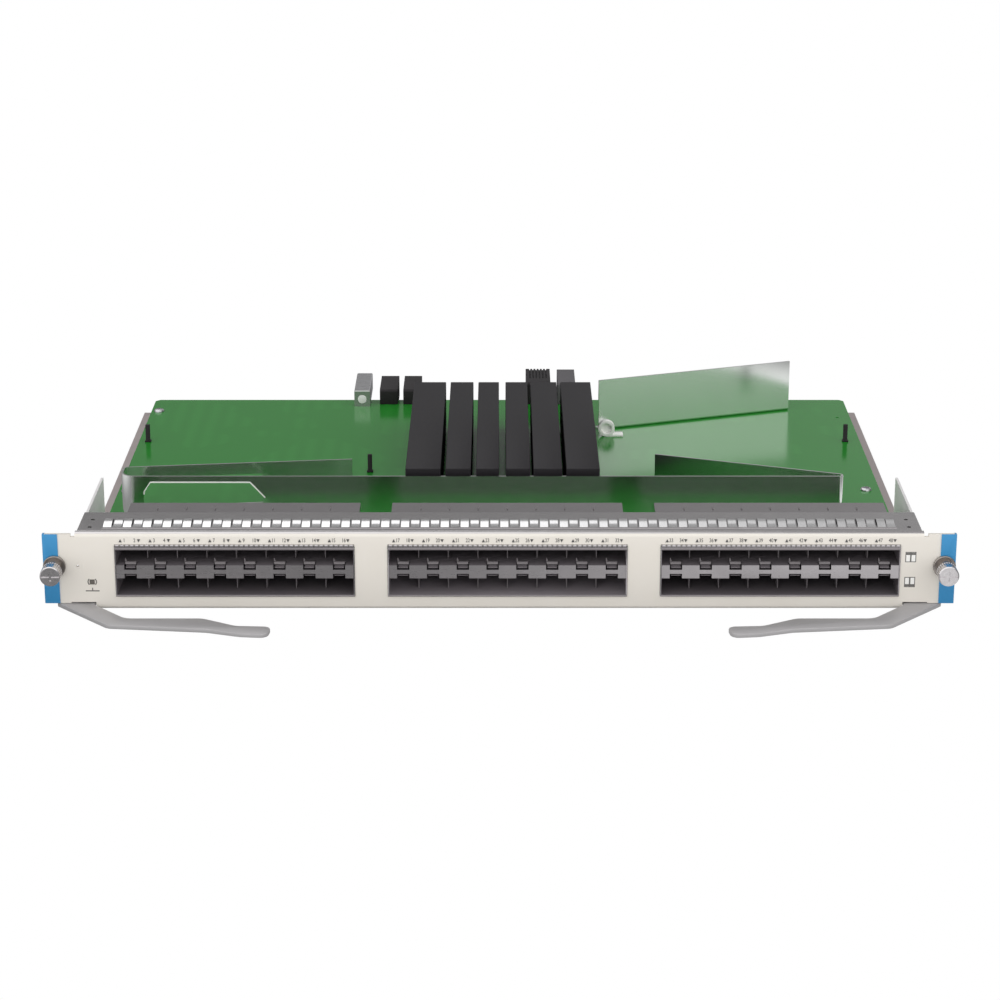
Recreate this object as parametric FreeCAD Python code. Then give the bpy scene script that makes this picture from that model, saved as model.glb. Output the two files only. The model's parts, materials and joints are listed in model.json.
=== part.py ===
import FreeCAD
import Part

import math
import os

from FreeCAD import Rotation, Vector

# A 48-port line card for a modular switch, in millimetres. While it is drawn, Y = 0 is the front of
# the faceplate and Y grows towards the backplane, X runs left to right seen from the front, and
# Z = 0 is the underside of the tray. save() moves the origin to the middle of the tray's underside.

# Faceplate, a folded sheet
FACE_HALF_WIDTH = 217.0
FACE_TOP = 38.7
FACE_SHEET = 1.5
FACE_TOP_RETURN = 3.3
FACE_END_LENGTH = 14.5
FACE_TOP_BEND = 1.5
FACE_FOOT_RETURN = 10.0
FACE_FOOT_BEND = 2.6
FACE_FOOT_END_LENGTH = 23.5
END_BOTTOM = 3.1
END_TOP_STEP = 0.6
RELIEF_WIDTH = 2.0
RELIEF_DEPTH = 1.4
LEVER_SLOT_LENGTH = 12.0
LEVER_SLOT_HEIGHT = 0.5

# Coloured end caps, clipped over the ends of the faceplate
CAP_COVER = 6.3
CAP_SKIN = 0.6
CAP_SIDE = 1.0
CAP_RETURN = 1.4

# Port cages: three blocks of two rows of eight ports
PORT_PITCH = 14.25
PORT_BLOCKS = 3
PORTS_SHIFT = 3.9
PORTS_SIDE_MARGIN = 25.0
BLOCK_GAP = 15.9
CAGE_SHEET = 0.5
CAGE_HEIGHT = 25.5
CAGE_PROUD = 0.6
CAGE_DEPTH = 64.6
CAGE_CLEARANCE = 0.15
DIVIDER_CLEARANCE = 0.1
SEPTUM_SET_BACK = 10.0
TAB_LENGTH = 3.0
TAB_FROM_BACK = 9.6
TAB_PROUD = 0.4
DIVIDER_LEVEL = 12.6
DIVIDER_HEIGHT = 6.6
DIVIDER_FROM_BACK = 18.6
DIVIDER_SHEET = 0.4
LATCH_NOTCH_WIDTH = 5.9
LATCH_NOTCH_DEPTH = 2.3
LATCH_NOTCH_LENGTH = 5.0
TONGUE_WIDTH = 4.6
TONGUE_DIP = 1.2
PORT_CONNECTOR_WIDTH = 11.4
PORT_CONNECTOR_DEPTH = 10.8
PORT_CONNECTOR_GAP = 0.3
PORT_CONNECTOR_HEIGHT = 20.4
CARD_SLOT_REACH = 3.4
CARD_SLOT_HEIGHT = 3.6

# Indicator windows on the faceplate
ARROW_WIDTH = 1.5
ARROW_HEIGHT = 1.5
ARROW_THICKNESS = 0.25
ARROW_OVER_CAGE = 2.7
ARROW_OFFSET = 4.4
STATUS_INSET = 22.0
STATUS_LEVEL = 13.9
STATUS_SIDE = 2.4
STATUS_PROUD = 0.3
STATUS_DEPTH = 4.0
PINHOLE_INSET = 15.4
PINHOLE_LEVEL = 22.0
PINHOLE_RADIUS = 0.6

# Front frame, a folded sheet behind the faceplate, with a strip of spring fingers on it
FRAME_INSET = 0.5
FRAME_SHEET = 1.2
FRAME_STEP = 0.5
FRAME_BACK = 32.0
FRAME_BEND = 1.4
FRAME_LIP = 4.8
ARM_LENGTH = 58.0
ARM_FOOT_BACK = 19.0
FRAME_HOLE_RADIUS = 1.0
FRAME_HOLE_INSET = 5.5
FRAME_HOLE_PLACES = (10.0, 21.0)
FINGER_PITCH = 4.7625
FINGER_END_MARGIN = 11.0
FINGER_WIDTH = 3.9
FINGER_SHEET = 0.25
FINGER_RISES = (1.3, 0.8)
FINGER_FRONT = 9.3
FINGER_LENGTH = 11.9
FINGER_BAND = 1.0

# Main board and the tray that carries it
BOARD_THICKNESS = 2.4
BOARD_PAST_FRAME = 1.5
BOARD_FRONT = 3.0
BOARD_LENGTH = 328.6
BOARD_CORNER = 2.5
BOARD_CLEARANCE = 1.0
TRAY_SHEET = 1.2
TRAY_SHOULDER = 26.0
TRAY_SHORT_OF_BOARD = 17.6
TRAY_TONGUE_INSET = 17.5
TRAY_LEDGE_TOP = 4.0
TRAY_LEDGE_REACH = 2.6
STANDOFF_HEIGHT = 3.0
STANDOFF_RADIUS = 3.4
STANDOFF_SIDES = 6
SCREW_HEAD_RADIUS = 2.9
SCREW_HEAD_HEIGHT = 1.5

# Screws on the board: which side, how far in from that side, and how far from the back edge
SCREW_PLACES = ((-1, 4.5, 23.6), (1, 7.5, 170.0), (-1, 4.5, 172.6))

# A spacer that locates the board with a pin hole and has no screw, placed in the same way
LOCATING_PLACES = ((1, 7.4, 36.2),)
LOCATING_HOLE_RADIUS = 0.9

# Sheet-metal air guides on the board
GUIDE_SHEET = 1.0
BAFFLE_HEIGHT = 24.4
BAFFLE_BEHIND_CAGES = 46.4
BAFFLE_LEFT_INSET = 8.5
BAFFLE_RIGHT_INSET = 17.3
BAFFLE_LEFT_BEND = 7.0
BAFFLE_FOLD_BEND = 2.0
BAFFLE_RIGHT_BEND = 2.0
LEFT_END_DEPTH = 15.0
LEFT_WING_LENGTH = 117.7
LEFT_WING_RISE = 14.0
RIGHT_WING_LENGTH = 104.0
RIGHT_WING_RISE = 37.5
TALL_GUIDE_HEIGHT = 29.6
TALL_GUIDE_FROM_HEATSINKS = 4.7
TALL_GUIDE_RIGHT_INSET = 34.6
TALL_GUIDE_BACK_INSET = 20.4
TALL_GUIDE_SLANT = 40.5
TALL_GUIDE_FOOT = 5.0

# Openings in the air baffle: corners from the wall's left end and up from the board
CUTOUT_OUTLINE = ((11.5, 2.4), (11.5, 16.2), (15.0, 21.4), (66.6, 21.4), (74.3, 13.0), (85.0, 2.4))
WING_WINDOW_START = 7.0
WING_WINDOW_END = 71.0
WING_WINDOW_FOOT = 2.4
WING_WINDOW_HEIGHT = 16.0

# The round clip in front of the tall guide's left end
CLIP_RIGHT_OF_GUIDE = 4.2
CLIP_BEFORE_GUIDE = 12.7
CLIP_RADIUS = 4.7
CLIP_THICKNESS = 3.2
CLIP_RECESS_RADIUS = 3.0
CLIP_RECESS_DEPTH = 2.0
CLIP_TAIL = 9.4
CLIP_TAIL_DEPTH = 5.8
CLIP_TAIL_HEIGHT = 1.2

# Six long heat sinks over rows of port chips
HEATSINK_SIDES = ((-48.5, -30.4), (-27.8, -14.8), (-12.0, -0.3), (3.4, 15.8), (17.6, 32.4), (34.6, 51.8))
HEATSINK_BEHIND_BAFFLE = 3.0
HEATSINK_LENGTH = 161.0
HEATSINK_HEIGHT = 24.9
HEATSINK_BASE = 3.0
HEATSINK_COVER = 4.0
FIN_PITCH = 4.6
FIN_THICKNESS = 1.2
CHIP_HEIGHT = 2.5
CHIP_MARGIN = 0.6
CHIP_PLACES = (26.0, 73.0, 120.0)
CHIP_LENGTH = 15.0

# Connectors and guide along the back edge
CONNECTOR_ON_BOARD = 9.6
CONNECTOR_PAST_BOARD = 20.4
POWER_CONNECTOR_SIDES = ((-70.5, -59.9), (-56.7, -46.3))
POWER_CONNECTOR_HEIGHT = 9.0
SIGNAL_CONNECTOR_SIDES = (15.6, 30.0)
SIGNAL_CONNECTOR_HEIGHT = 13.4
FABRIC_CONNECTOR_SIDES = (34.2, 44.6)
FABRIC_CONNECTOR_HEIGHT = 13.0
CONNECTOR_HANG = 3.4
RIB_PITCH = 1.9
RIB_GAP = 0.7
RIB_DEPTH = 0.8
GUIDE_SIDES = (-85.3, -76.1)
GUIDE_HEIGHT = 9.6
GUIDE_ON_BOARD = 13.6
GUIDE_PAST_BOARD = 24.4
BUSH_RADIUS = 2.6
BUSH_BORE = 2.0
BUSH_LEVEL = 4.4
BUSH_END = 2.0

# Small posts on the board: two placed as the screws are, and one left of the heat sinks
POST_PLACES = ((-1, 5.2, 83.0), (1, 8.4, 82.6))
MIDDLE_POST_FROM_HEATSINKS = 22.1
MIDDLE_POST_FROM_BACK = 138.3
POST_WIDTH = 2.4
POST_DEPTH = 2.0
POST_HEIGHT = 10.0
POST_FOOT_MARGIN = 0.5
POST_FOOT_HEIGHT = 1.0

# Ejector levers, drawn about the left pivot and mirrored
PIVOT_REACH = 4.6
PIVOT_Y = 9.0
LEVER_CLEARANCE = 0.2
LEVER_SHEET = 2.1
LEVER_OUTLINE = (
    (-5.7, -8.0),
    (21.9, -37.7, 6.0),
    (68.9, -43.0, 12.0),
    (85.2, -48.6, 10.0),
    (98.1, -50.0, 4.0),
    (99.6, -39.6, 3.5),
    (82.6, -38.6, 8.0),
    (66.0, -28.8, 8.0),
    (29.2, -28.8, 8.0),
    (12.6, -10.5),
    (12.6, 8.0, 8.0),
    (-10.8, 8.0),
    (-10.8, 3.6),
    (-5.7, 3.6),
)
PIN_RADIUS = 2.5
PIN_CLEARANCE = 0.05
PIN_FOOT_RADIUS = 3.9
PIN_FOOT_HEIGHT = 0.5
PIN_END_PLAY = 0.1
EAR_MARGIN = 5.0
EAR_FRONT = 3.5
EAR_BACK = 15.5

# Captive screws, drawn about the Y axis and moved to each end of the faceplate
CAPTIVE_INSET = 4.4
CAPTIVE_LEVEL = 22.1
THREAD_RADIUS = 2.0
THREAD_END = 8.0
NECK_RADIUS = 1.7
WASHER_RADIUS = 3.8
WASHER_THICKNESS = 0.7
WASHER_CLEARANCE = 0.05
FERRULE_SHANK_RADIUS = 3.0
FERRULE_FLANGE_RADIUS = 5.4
FERRULE_FLANGE = 1.5
FERRULE_BARREL_RADIUS = 3.9
FERRULE_FRONT = -8.4
FERRULE_BACK = 2.2
SPRING_OUTER_RADIUS = 3.6
SPRING_WIRE = 0.5
SPRING_TURNS = 3
SPRING_STATIONS = 10
KNOB_RADIUS = 4.9
KNOB_FRONT = -15.6
KNOB_FACE = 1.2
KNOB_BACK = -8.2
KNOB_SKIRT_CLEARANCE = 0.2
KNOB_GROOVES = 14
KNOB_GROOVE_DEPTH = 0.35
DRIVE_SLOT_WIDTH = 1.1
DRIVE_SLOT_DEPTH = 0.9

# Small round holes and heads are drawn with this many sides
SMALL_SIDES = 12

# Sizes that follow from the ones above
END_TOP = FACE_TOP - END_TOP_STEP
FACE_TOP_RETURN_HALF_WIDTH = FACE_HALF_WIDTH - FACE_END_LENGTH
FACE_FOOT_HALF_WIDTH = FACE_HALF_WIDTH - FACE_FOOT_END_LENGTH
CAP_INNER_X = FACE_HALF_WIDTH - CAP_COVER
CAPTIVE_X = FACE_HALF_WIDTH - CAPTIVE_INSET
FRAME_HALF_WIDTH = FACE_TOP_RETURN_HALF_WIDTH - FRAME_INSET
FRAME_TOP = FACE_TOP - FRAME_STEP
ARM_TOP = FRAME_TOP - FRAME_SHEET
ARM_BACK = FRAME_BACK + ARM_LENGTH
PIVOT_X = -FRAME_HALF_WIDTH - PIVOT_REACH
LEVER_TOP = END_BOTTOM - LEVER_CLEARANCE
LEVER_BOTTOM = LEVER_TOP - LEVER_SHEET
FINGER_COUNT = 2 * int((FRAME_HALF_WIDTH - FINGER_END_MARGIN) / FINGER_PITCH)
FINGER_BACK = FINGER_FRONT + FINGER_LENGTH
BOARD_BOTTOM = TRAY_SHEET + STANDOFF_HEIGHT
BOARD_TOP = BOARD_BOTTOM + BOARD_THICKNESS
BOARD_HALF_WIDTH = FRAME_HALF_WIDTH + BOARD_PAST_FRAME
BOARD_BACK = BOARD_FRONT + BOARD_LENGTH
TRAY_BACK = BOARD_BACK - TRAY_SHORT_OF_BOARD
TRAY_TONGUE_HALF_WIDTH = BOARD_HALF_WIDTH - TRAY_TONGUE_INSET
ORIGIN_Y = (FACE_FOOT_RETURN + TRAY_BACK) / 2
CAGE_BOTTOM = BOARD_TOP
CAGE_TOP = CAGE_BOTTOM + CAGE_HEIGHT
CAGE_BACK = CAGE_DEPTH
PORTS_SPAN = 2 * (FACE_HALF_WIDTH - PORTS_SHIFT - PORTS_SIDE_MARGIN) - (PORT_BLOCKS - 1) * BLOCK_GAP
PORT_COLUMNS = int((PORTS_SPAN / PORT_BLOCKS - CAGE_SHEET) / PORT_PITCH)
CAGE_WIDTH = PORT_COLUMNS * PORT_PITCH + CAGE_SHEET
DIVIDER_TOP = CAGE_BOTTOM + DIVIDER_LEVEL + DIVIDER_HEIGHT / 2
DIVIDER_BOTTOM = DIVIDER_TOP - DIVIDER_HEIGHT
DIVIDER_DEPTH = CAGE_BACK - DIVIDER_FROM_BACK
TAB_PLACE = CAGE_BACK - TAB_FROM_BACK
BAFFLE_WALL_Y = CAGE_BACK + BAFFLE_BEHIND_CAGES
BAFFLE_TOP = BOARD_TOP + BAFFLE_HEIGHT
BAFFLE_LEFT_X = BAFFLE_LEFT_INSET - BOARD_HALF_WIDTH
BAFFLE_RIGHT_X = BOARD_HALF_WIDTH - BAFFLE_RIGHT_INSET
TALL_GUIDE_END = (BOARD_HALF_WIDTH - TALL_GUIDE_RIGHT_INSET, BOARD_BACK - TALL_GUIDE_BACK_INSET)
TALL_GUIDE_START = (HEATSINK_SIDES[-1][1] + TALL_GUIDE_FROM_HEATSINKS, TALL_GUIDE_END[1] - TALL_GUIDE_SLANT)
HEATSINK_FRONT = BAFFLE_WALL_Y + HEATSINK_BEHIND_BAFFLE
HEATSINK_BACK = HEATSINK_FRONT + HEATSINK_LENGTH
HEATSINK_FOOT = BOARD_TOP + CHIP_HEIGHT
HEATSINK_TOP = HEATSINK_FOOT + HEATSINK_HEIGHT
CONNECTOR_FRONT = BOARD_BACK - CONNECTOR_ON_BOARD
CONNECTOR_BACK = BOARD_BACK + CONNECTOR_PAST_BOARD
GUIDE_FRONT = BOARD_BACK - GUIDE_ON_BOARD
GUIDE_BACK = BOARD_BACK + GUIDE_PAST_BOARD
SHORT = 0.1
PAST = 1.0

# A drawing in X and Y is turned so that it becomes a section in Y and Z, pushed out along X,
# or an elevation in X and Z, pushed out towards the front
SECTION = Rotation(Vector(1, 1, 1), 120)
ELEVATION = Rotation(Vector(1, 0, 0), 90)


def block(x0, x1, y0, y1, z0, z1):
    """A box between two corners."""
    return Part.makeBox(x1 - x0, y1 - y0, z1 - z0, Vector(x0, y0, z0))


def rod(radius, start, end):
    """A cylinder from one point to another."""
    run = end - start
    return Part.makeCylinder(radius, run.Length, start, run)


def corner(before, at, after, radius):
    """Where an arc of this radius starts, has its middle and ends, and its centre."""
    back = (before - at).normalize()
    on = (after - at).normalize()
    half = back.getAngle(on) / 2
    start = at + back * (radius / math.tan(half))
    end = at + on * (radius / math.tan(half))
    inward = (back + on).normalize()
    centre = at + inward * (radius / math.sin(half))
    return start, centre - inward * radius, end, centre


def closed_face(points):
    """A face whose corners are (x, y) or, rounded, (x, y, radius)."""
    places = [Vector(p[0], p[1], 0) for p in points]
    edges = []
    ends = []
    for i, point in enumerate(points):
        if len(point) == 3:
            start, middle, end, _ = corner(places[i - 1], places[i], places[(i + 1) % len(points)], point[2])
            edges.append(Part.Arc(start, middle, end).toShape())
            ends.append((start, end))
        else:
            ends.append((places[i], places[i]))
    for i in range(len(points)):
        edges.append(Part.makeLine(ends[i - 1][1], ends[i][0]))
    return Part.Face(Part.Wire(Part.__sortEdges__(edges)))


def regular(sides, radius, x=0, y=0):
    """The corners of a regular polygon."""
    turns = [2 * math.pi * i / sides for i in range(sides)]
    return [(x + radius * math.cos(a), y + radius * math.sin(a)) for a in turns]


def left_of(start, end):
    """The unit vector to the left of a run."""
    run = (end - start).normalize()
    return Vector(-run.y, run.x, 0)


def strip_side(points, radii, offset):
    """The edges along the left of a path of straight runs and tangent arcs."""
    edges = []
    here = points[0] + left_of(points[0], points[1]) * offset
    for before, at, after, radius in zip(points, points[1:], points[2:], radii):
        start, middle, end, centre = corner(before, at, after, radius)
        outward = (start - centre).normalize().dot(left_of(before, at))
        share = (radius + outward * offset) / radius
        start, middle, end = [centre + (p - centre) * share for p in (start, middle, end)]
        edges.append(Part.makeLine(here, start))
        edges.append(Part.Arc(start, middle, end).toShape())
        here = end
    last = points[-1] + left_of(points[-2], points[-1]) * offset
    edges.append(Part.makeLine(here, last))
    return edges


def bent_sheet(path, radii, sheet):
    """The section of a folded sheet whose middle follows a path."""
    points = [Vector(x, y, 0) for x, y in path]
    one = strip_side(points, radii, sheet / 2)
    other = strip_side(points[::-1], radii[::-1], sheet / 2)
    caps = [
        Part.makeLine(one[-1].Vertexes[-1].Point, other[0].Vertexes[0].Point),
        Part.makeLine(other[-1].Vertexes[-1].Point, one[0].Vertexes[0].Point),
    ]
    return Part.Face(Part.Wire(Part.__sortEdges__(one + other + caps)))


def push(face, depth, turn=None, at=None):
    """Extrudes a drawing, then turns and moves it."""
    solid = face.extrude(Vector(0, 0, depth))
    solid.Placement = FreeCAD.Placement(at or Vector(), turn or Rotation())
    return solid


def turned(profile):
    """A piece turned about the Y axis from (radius, y) corners."""
    points = [Vector(radius, y, 0) for radius, y in profile]
    face = Part.Face(Part.makePolygon(points + points[:1]))
    return face.revolve(Vector(), Vector(0, 1, 0), 360)


def joined(shapes):
    """Solids that touch, made one."""
    return shapes[0].multiFuse(shapes[1:]).removeSplitter()


def mirrored(shape):
    """The same piece on the other side of the card."""
    return shape.mirror(Vector(), Vector(1, 0, 0))


def save(name, shape):
    """Moves the origin to the middle of the tray's underside and writes the piece."""
    placed = shape.copy()
    placed.translate(Vector(0, -ORIGIN_Y, 0))
    if not placed.isValid():
        raise ValueError(f"{name} isn't a valid solid")
    placed.exportStep(f"parts/{name}.step")


def port_blocks():
    """The numbers of the port blocks, from left to right."""
    return range(1, PORT_BLOCKS + 1)


def block_centre(number):
    """The middle of a block of ports."""
    return PORTS_SHIFT + (number - (PORT_BLOCKS + 1) / 2) * (CAGE_WIDTH + BLOCK_GAP)


def block_start(number):
    """The left side of a block of ports."""
    return block_centre(number) - CAGE_WIDTH / 2


def column_centres(number):
    """The middle of each port column in a block."""
    first = block_centre(number) - (PORT_COLUMNS - 1) * PORT_PITCH / 2
    return [first + i * PORT_PITCH for i in range(PORT_COLUMNS)]


def on_board(places):
    """The X and Y of places given by side, distance in from it, and distance from the back edge."""
    return [(side * (BOARD_HALF_WIDTH - inset), BOARD_BACK - back) for side, inset, back in places]


def faceplate():
    """A folded plate with three port openings, short ends and holes for the screws and lights."""
    half = FACE_SHEET / 2
    path = [
        (FACE_TOP_RETURN, FACE_TOP - half),
        (half, FACE_TOP - half),
        (half, half),
        (FACE_FOOT_RETURN, half),
    ]
    section = bent_sheet(path, [FACE_TOP_BEND, FACE_FOOT_BEND], FACE_SHEET)
    middle = push(section, 2 * FACE_TOP_RETURN_HALF_WIDTH, SECTION, Vector(-FACE_TOP_RETURN_HALF_WIDTH, 0, 0))
    for side in (-1, 1):
        foot = sorted((side * FACE_FOOT_HALF_WIDTH, side * FACE_HALF_WIDTH))
        middle = middle.cut(block(*foot, -PAST, FACE_FOOT_RETURN + PAST, -PAST, END_BOTTOM))
    ends = []
    for side in (-1, 1):
        span = sorted((side * FACE_TOP_RETURN_HALF_WIDTH, side * FACE_HALF_WIDTH))
        ends.append(block(*span, 0, FACE_SHEET, END_BOTTOM, END_TOP))
    plate = joined([middle] + ends)
    for side in (-1, 1):
        notch = sorted((side * FACE_TOP_RETURN_HALF_WIDTH, side * (FACE_TOP_RETURN_HALF_WIDTH + RELIEF_WIDTH)))
        plate = plate.cut(block(*notch, -PAST, FACE_TOP_RETURN + PAST, END_TOP - RELIEF_DEPTH, FACE_TOP + PAST))
        slot = sorted((side * FACE_FOOT_HALF_WIDTH, side * (FACE_FOOT_HALF_WIDTH + LEVER_SLOT_LENGTH)))
        slot_top = END_BOTTOM + LEVER_SLOT_HEIGHT
        plate = plate.cut(block(*slot, -PAST, FACE_SHEET + PAST, END_BOTTOM - PAST, slot_top))
        hole_at = Vector(side * CAPTIVE_X, -PAST, CAPTIVE_LEVEL)
        plate = plate.cut(rod(FERRULE_SHANK_RADIUS, hole_at, hole_at + Vector(0, FACE_SHEET + 2 * PAST, 0)))
    for number in port_blocks():
        x0 = block_start(number) - CAGE_CLEARANCE
        x1 = block_start(number) + CAGE_WIDTH + CAGE_CLEARANCE
        z0 = CAGE_BOTTOM - CAGE_CLEARANCE
        z1 = CAGE_TOP + CAGE_CLEARANCE
        plate = plate.cut(block(x0, x1, -PAST, FACE_SHEET + PAST, z0, z1))
    pinhole_x = PINHOLE_INSET - FACE_HALF_WIDTH
    pinhole = closed_face(regular(SMALL_SIDES, PINHOLE_RADIUS, pinhole_x, PINHOLE_LEVEL))
    plate = plate.cut(push(pinhole, FACE_SHEET + 2 * PAST, ELEVATION, Vector(0, FACE_SHEET + PAST, 0)))
    return plate.cut(status_pipe(-PAST, FACE_SHEET + PAST))


def status_pipe(front, back):
    """A square bar where the status light goes through the faceplate."""
    x = STATUS_INSET - FACE_HALF_WIDTH
    half = STATUS_SIDE / 2
    return block(x - half, x + half, front, back, STATUS_LEVEL - half, STATUS_LEVEL + half)


def end_cap():
    """The moulded cover on the right end of the faceplate, with a hole for the captive screw."""
    x1 = FACE_HALF_WIDTH + CAP_SIDE
    outer = block(CAP_INNER_X, x1, -CAP_SKIN, FACE_SHEET + CAP_SKIN, END_BOTTOM, END_TOP)
    plate_space = block(CAP_INNER_X - PAST, FACE_HALF_WIDTH, 0, FACE_SHEET, 0, FACE_TOP + PAST)
    behind = block(CAP_INNER_X - PAST, x1 - CAP_RETURN, FACE_SHEET - SHORT, FACE_SHEET + PAST, 0, FACE_TOP + PAST)
    screw = rod(
        FERRULE_SHANK_RADIUS,
        Vector(CAPTIVE_X, -PAST, CAPTIVE_LEVEL),
        Vector(CAPTIVE_X, SHORT, CAPTIVE_LEVEL),
    )
    return outer.cut(plate_space).cut(behind).cut(screw)


def cage_shell(number):
    """The folded outer case of a block of ports, open at the front, slotted for the septum tabs."""
    x0 = block_start(number)
    x1 = x0 + CAGE_WIDTH
    outer = block(x0, x1, -CAGE_PROUD, CAGE_BACK, CAGE_BOTTOM, CAGE_TOP)
    inner = block(
        x0 + CAGE_SHEET, x1 - CAGE_SHEET,
        -CAGE_PROUD - PAST, CAGE_BACK - CAGE_SHEET,
        CAGE_BOTTOM + CAGE_SHEET, CAGE_TOP - CAGE_SHEET,
    )
    shell = outer.cut(inner)
    for x in septum_centres(number):
        shell = shell.cut(septum_tab(x, CAGE_TOP + PAST))
    return shell


def septum_centres(number):
    """The planes between the port columns of a block."""
    return [x + PORT_PITCH / 2 for x in column_centres(number)[:-1]]


def septum_tab(x, top):
    """The tab that holds a septum in the top of its cage."""
    return block(
        x - CAGE_SHEET / 2, x + CAGE_SHEET / 2,
        TAB_PLACE - TAB_LENGTH / 2, TAB_PLACE + TAB_LENGTH / 2,
        CAGE_TOP - CAGE_SHEET, top,
    )


def cage_septa(number):
    """The upright plates between the columns, each tabbed above and slotted for the divider."""
    plates = []
    for x in septum_centres(number):
        x0 = x - CAGE_SHEET / 2
        x1 = x + CAGE_SHEET / 2
        plate = block(
            x0, x1,
            SEPTUM_SET_BACK, CAGE_BACK - CAGE_SHEET,
            CAGE_BOTTOM + CAGE_SHEET, CAGE_TOP - CAGE_SHEET,
        )
        slot = block(
            x0, x1,
            -PAST, DIVIDER_DEPTH + DIVIDER_CLEARANCE,
            DIVIDER_BOTTOM - DIVIDER_CLEARANCE, DIVIDER_TOP + DIVIDER_CLEARANCE,
        )
        plates.append(joined([plate.cut(slot), septum_tab(x, CAGE_TOP + TAB_PROUD)]))
    return Part.makeCompound(plates)


def latch_tongue(x, level, dip):
    """A spring tongue that reaches forward over a notch and dips at its tip."""
    half = DIVIDER_SHEET / 2
    side = closed_face([
        (0, level + dip - half),
        (LATCH_NOTCH_LENGTH, level - half),
        (LATCH_NOTCH_LENGTH, level + half),
        (0, level + dip + half),
    ])
    return push(side, TONGUE_WIDTH, SECTION, Vector(x - TONGUE_WIDTH / 2, 0, 0))


def cage_divider(number):
    """The folded channel between the two rows, notched and tongued for the module latches."""
    x0 = block_start(number) + CAGE_SHEET + DIVIDER_CLEARANCE
    x1 = x0 + CAGE_WIDTH - 2 * (CAGE_SHEET + DIVIDER_CLEARANCE)
    channel = block(x0, x1, -CAGE_PROUD, DIVIDER_DEPTH, DIVIDER_BOTTOM, DIVIDER_TOP)
    hollow = block(
        x0 - PAST, x1 + PAST,
        DIVIDER_SHEET - CAGE_PROUD, DIVIDER_DEPTH + PAST,
        DIVIDER_BOTTOM + DIVIDER_SHEET, DIVIDER_TOP - DIVIDER_SHEET,
    )
    notches = []
    tongues = []
    for x in column_centres(number):
        sides = (x - LATCH_NOTCH_WIDTH / 2, x + LATCH_NOTCH_WIDTH / 2)
        deep = (-PAST, LATCH_NOTCH_LENGTH)
        notches.append(block(*sides, *deep, DIVIDER_TOP - LATCH_NOTCH_DEPTH, DIVIDER_TOP + PAST))
        notches.append(block(*sides, *deep, DIVIDER_BOTTOM - PAST, DIVIDER_BOTTOM + LATCH_NOTCH_DEPTH))
        tongues.append(latch_tongue(x, DIVIDER_TOP - DIVIDER_SHEET / 2, -TONGUE_DIP))
        tongues.append(latch_tongue(x, DIVIDER_BOTTOM + DIVIDER_SHEET / 2, TONGUE_DIP))
    return joined([channel.cut(hollow).cut(Part.makeCompound(notches))] + tongues)


def port_connectors(number):
    """One stacked socket for each column, with a nose that reaches into each port."""
    floor = CAGE_BOTTOM + CAGE_SHEET
    top = floor + PORT_CONNECTOR_HEIGHT
    back = CAGE_BACK - CAGE_SHEET - PORT_CONNECTOR_GAP
    front = back - PORT_CONNECTOR_DEPTH
    nose_front = front - CARD_SLOT_REACH
    side = closed_face([
        (nose_front, floor),
        (back, floor),
        (back, top),
        (nose_front, top),
        (nose_front, top - CARD_SLOT_HEIGHT),
        (front, top - CARD_SLOT_HEIGHT),
        (front, floor + CARD_SLOT_HEIGHT),
        (nose_front, floor + CARD_SLOT_HEIGHT),
    ])
    sockets = []
    for x in column_centres(number):
        sockets.append(push(side, PORT_CONNECTOR_WIDTH, SECTION, Vector(x - PORT_CONNECTOR_WIDTH / 2, 0, 0)))
    return Part.makeCompound(sockets)


def port_lights(number):
    """Arrow windows over each column, pointing up for the top port and down for the bottom one."""
    arrows = []
    for x in column_centres(number):
        for way in (1, -1):
            centre = x - way * ARROW_OFFSET
            base = CAGE_TOP + ARROW_OVER_CAGE - way * ARROW_HEIGHT / 2
            points = [
                (centre - ARROW_WIDTH / 2, base),
                (centre + ARROW_WIDTH / 2, base),
                (centre, base + way * ARROW_HEIGHT),
            ]
            arrows.append(push(closed_face(points), ARROW_THICKNESS, ELEVATION))
    return Part.makeCompound(arrows)


def status_light():
    """A square light pipe through the faceplate."""
    return status_pipe(-STATUS_PROUD, STATUS_DEPTH)


def lever_ear():
    """The ear of the left arm that holds the lever's pivot pin."""
    root = -FRAME_HALF_WIDTH + FRAME_SHEET
    return block(PIVOT_X - EAR_MARGIN, root, EAR_FRONT, EAR_BACK, END_BOTTOM, END_BOTTOM + FRAME_SHEET)


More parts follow.
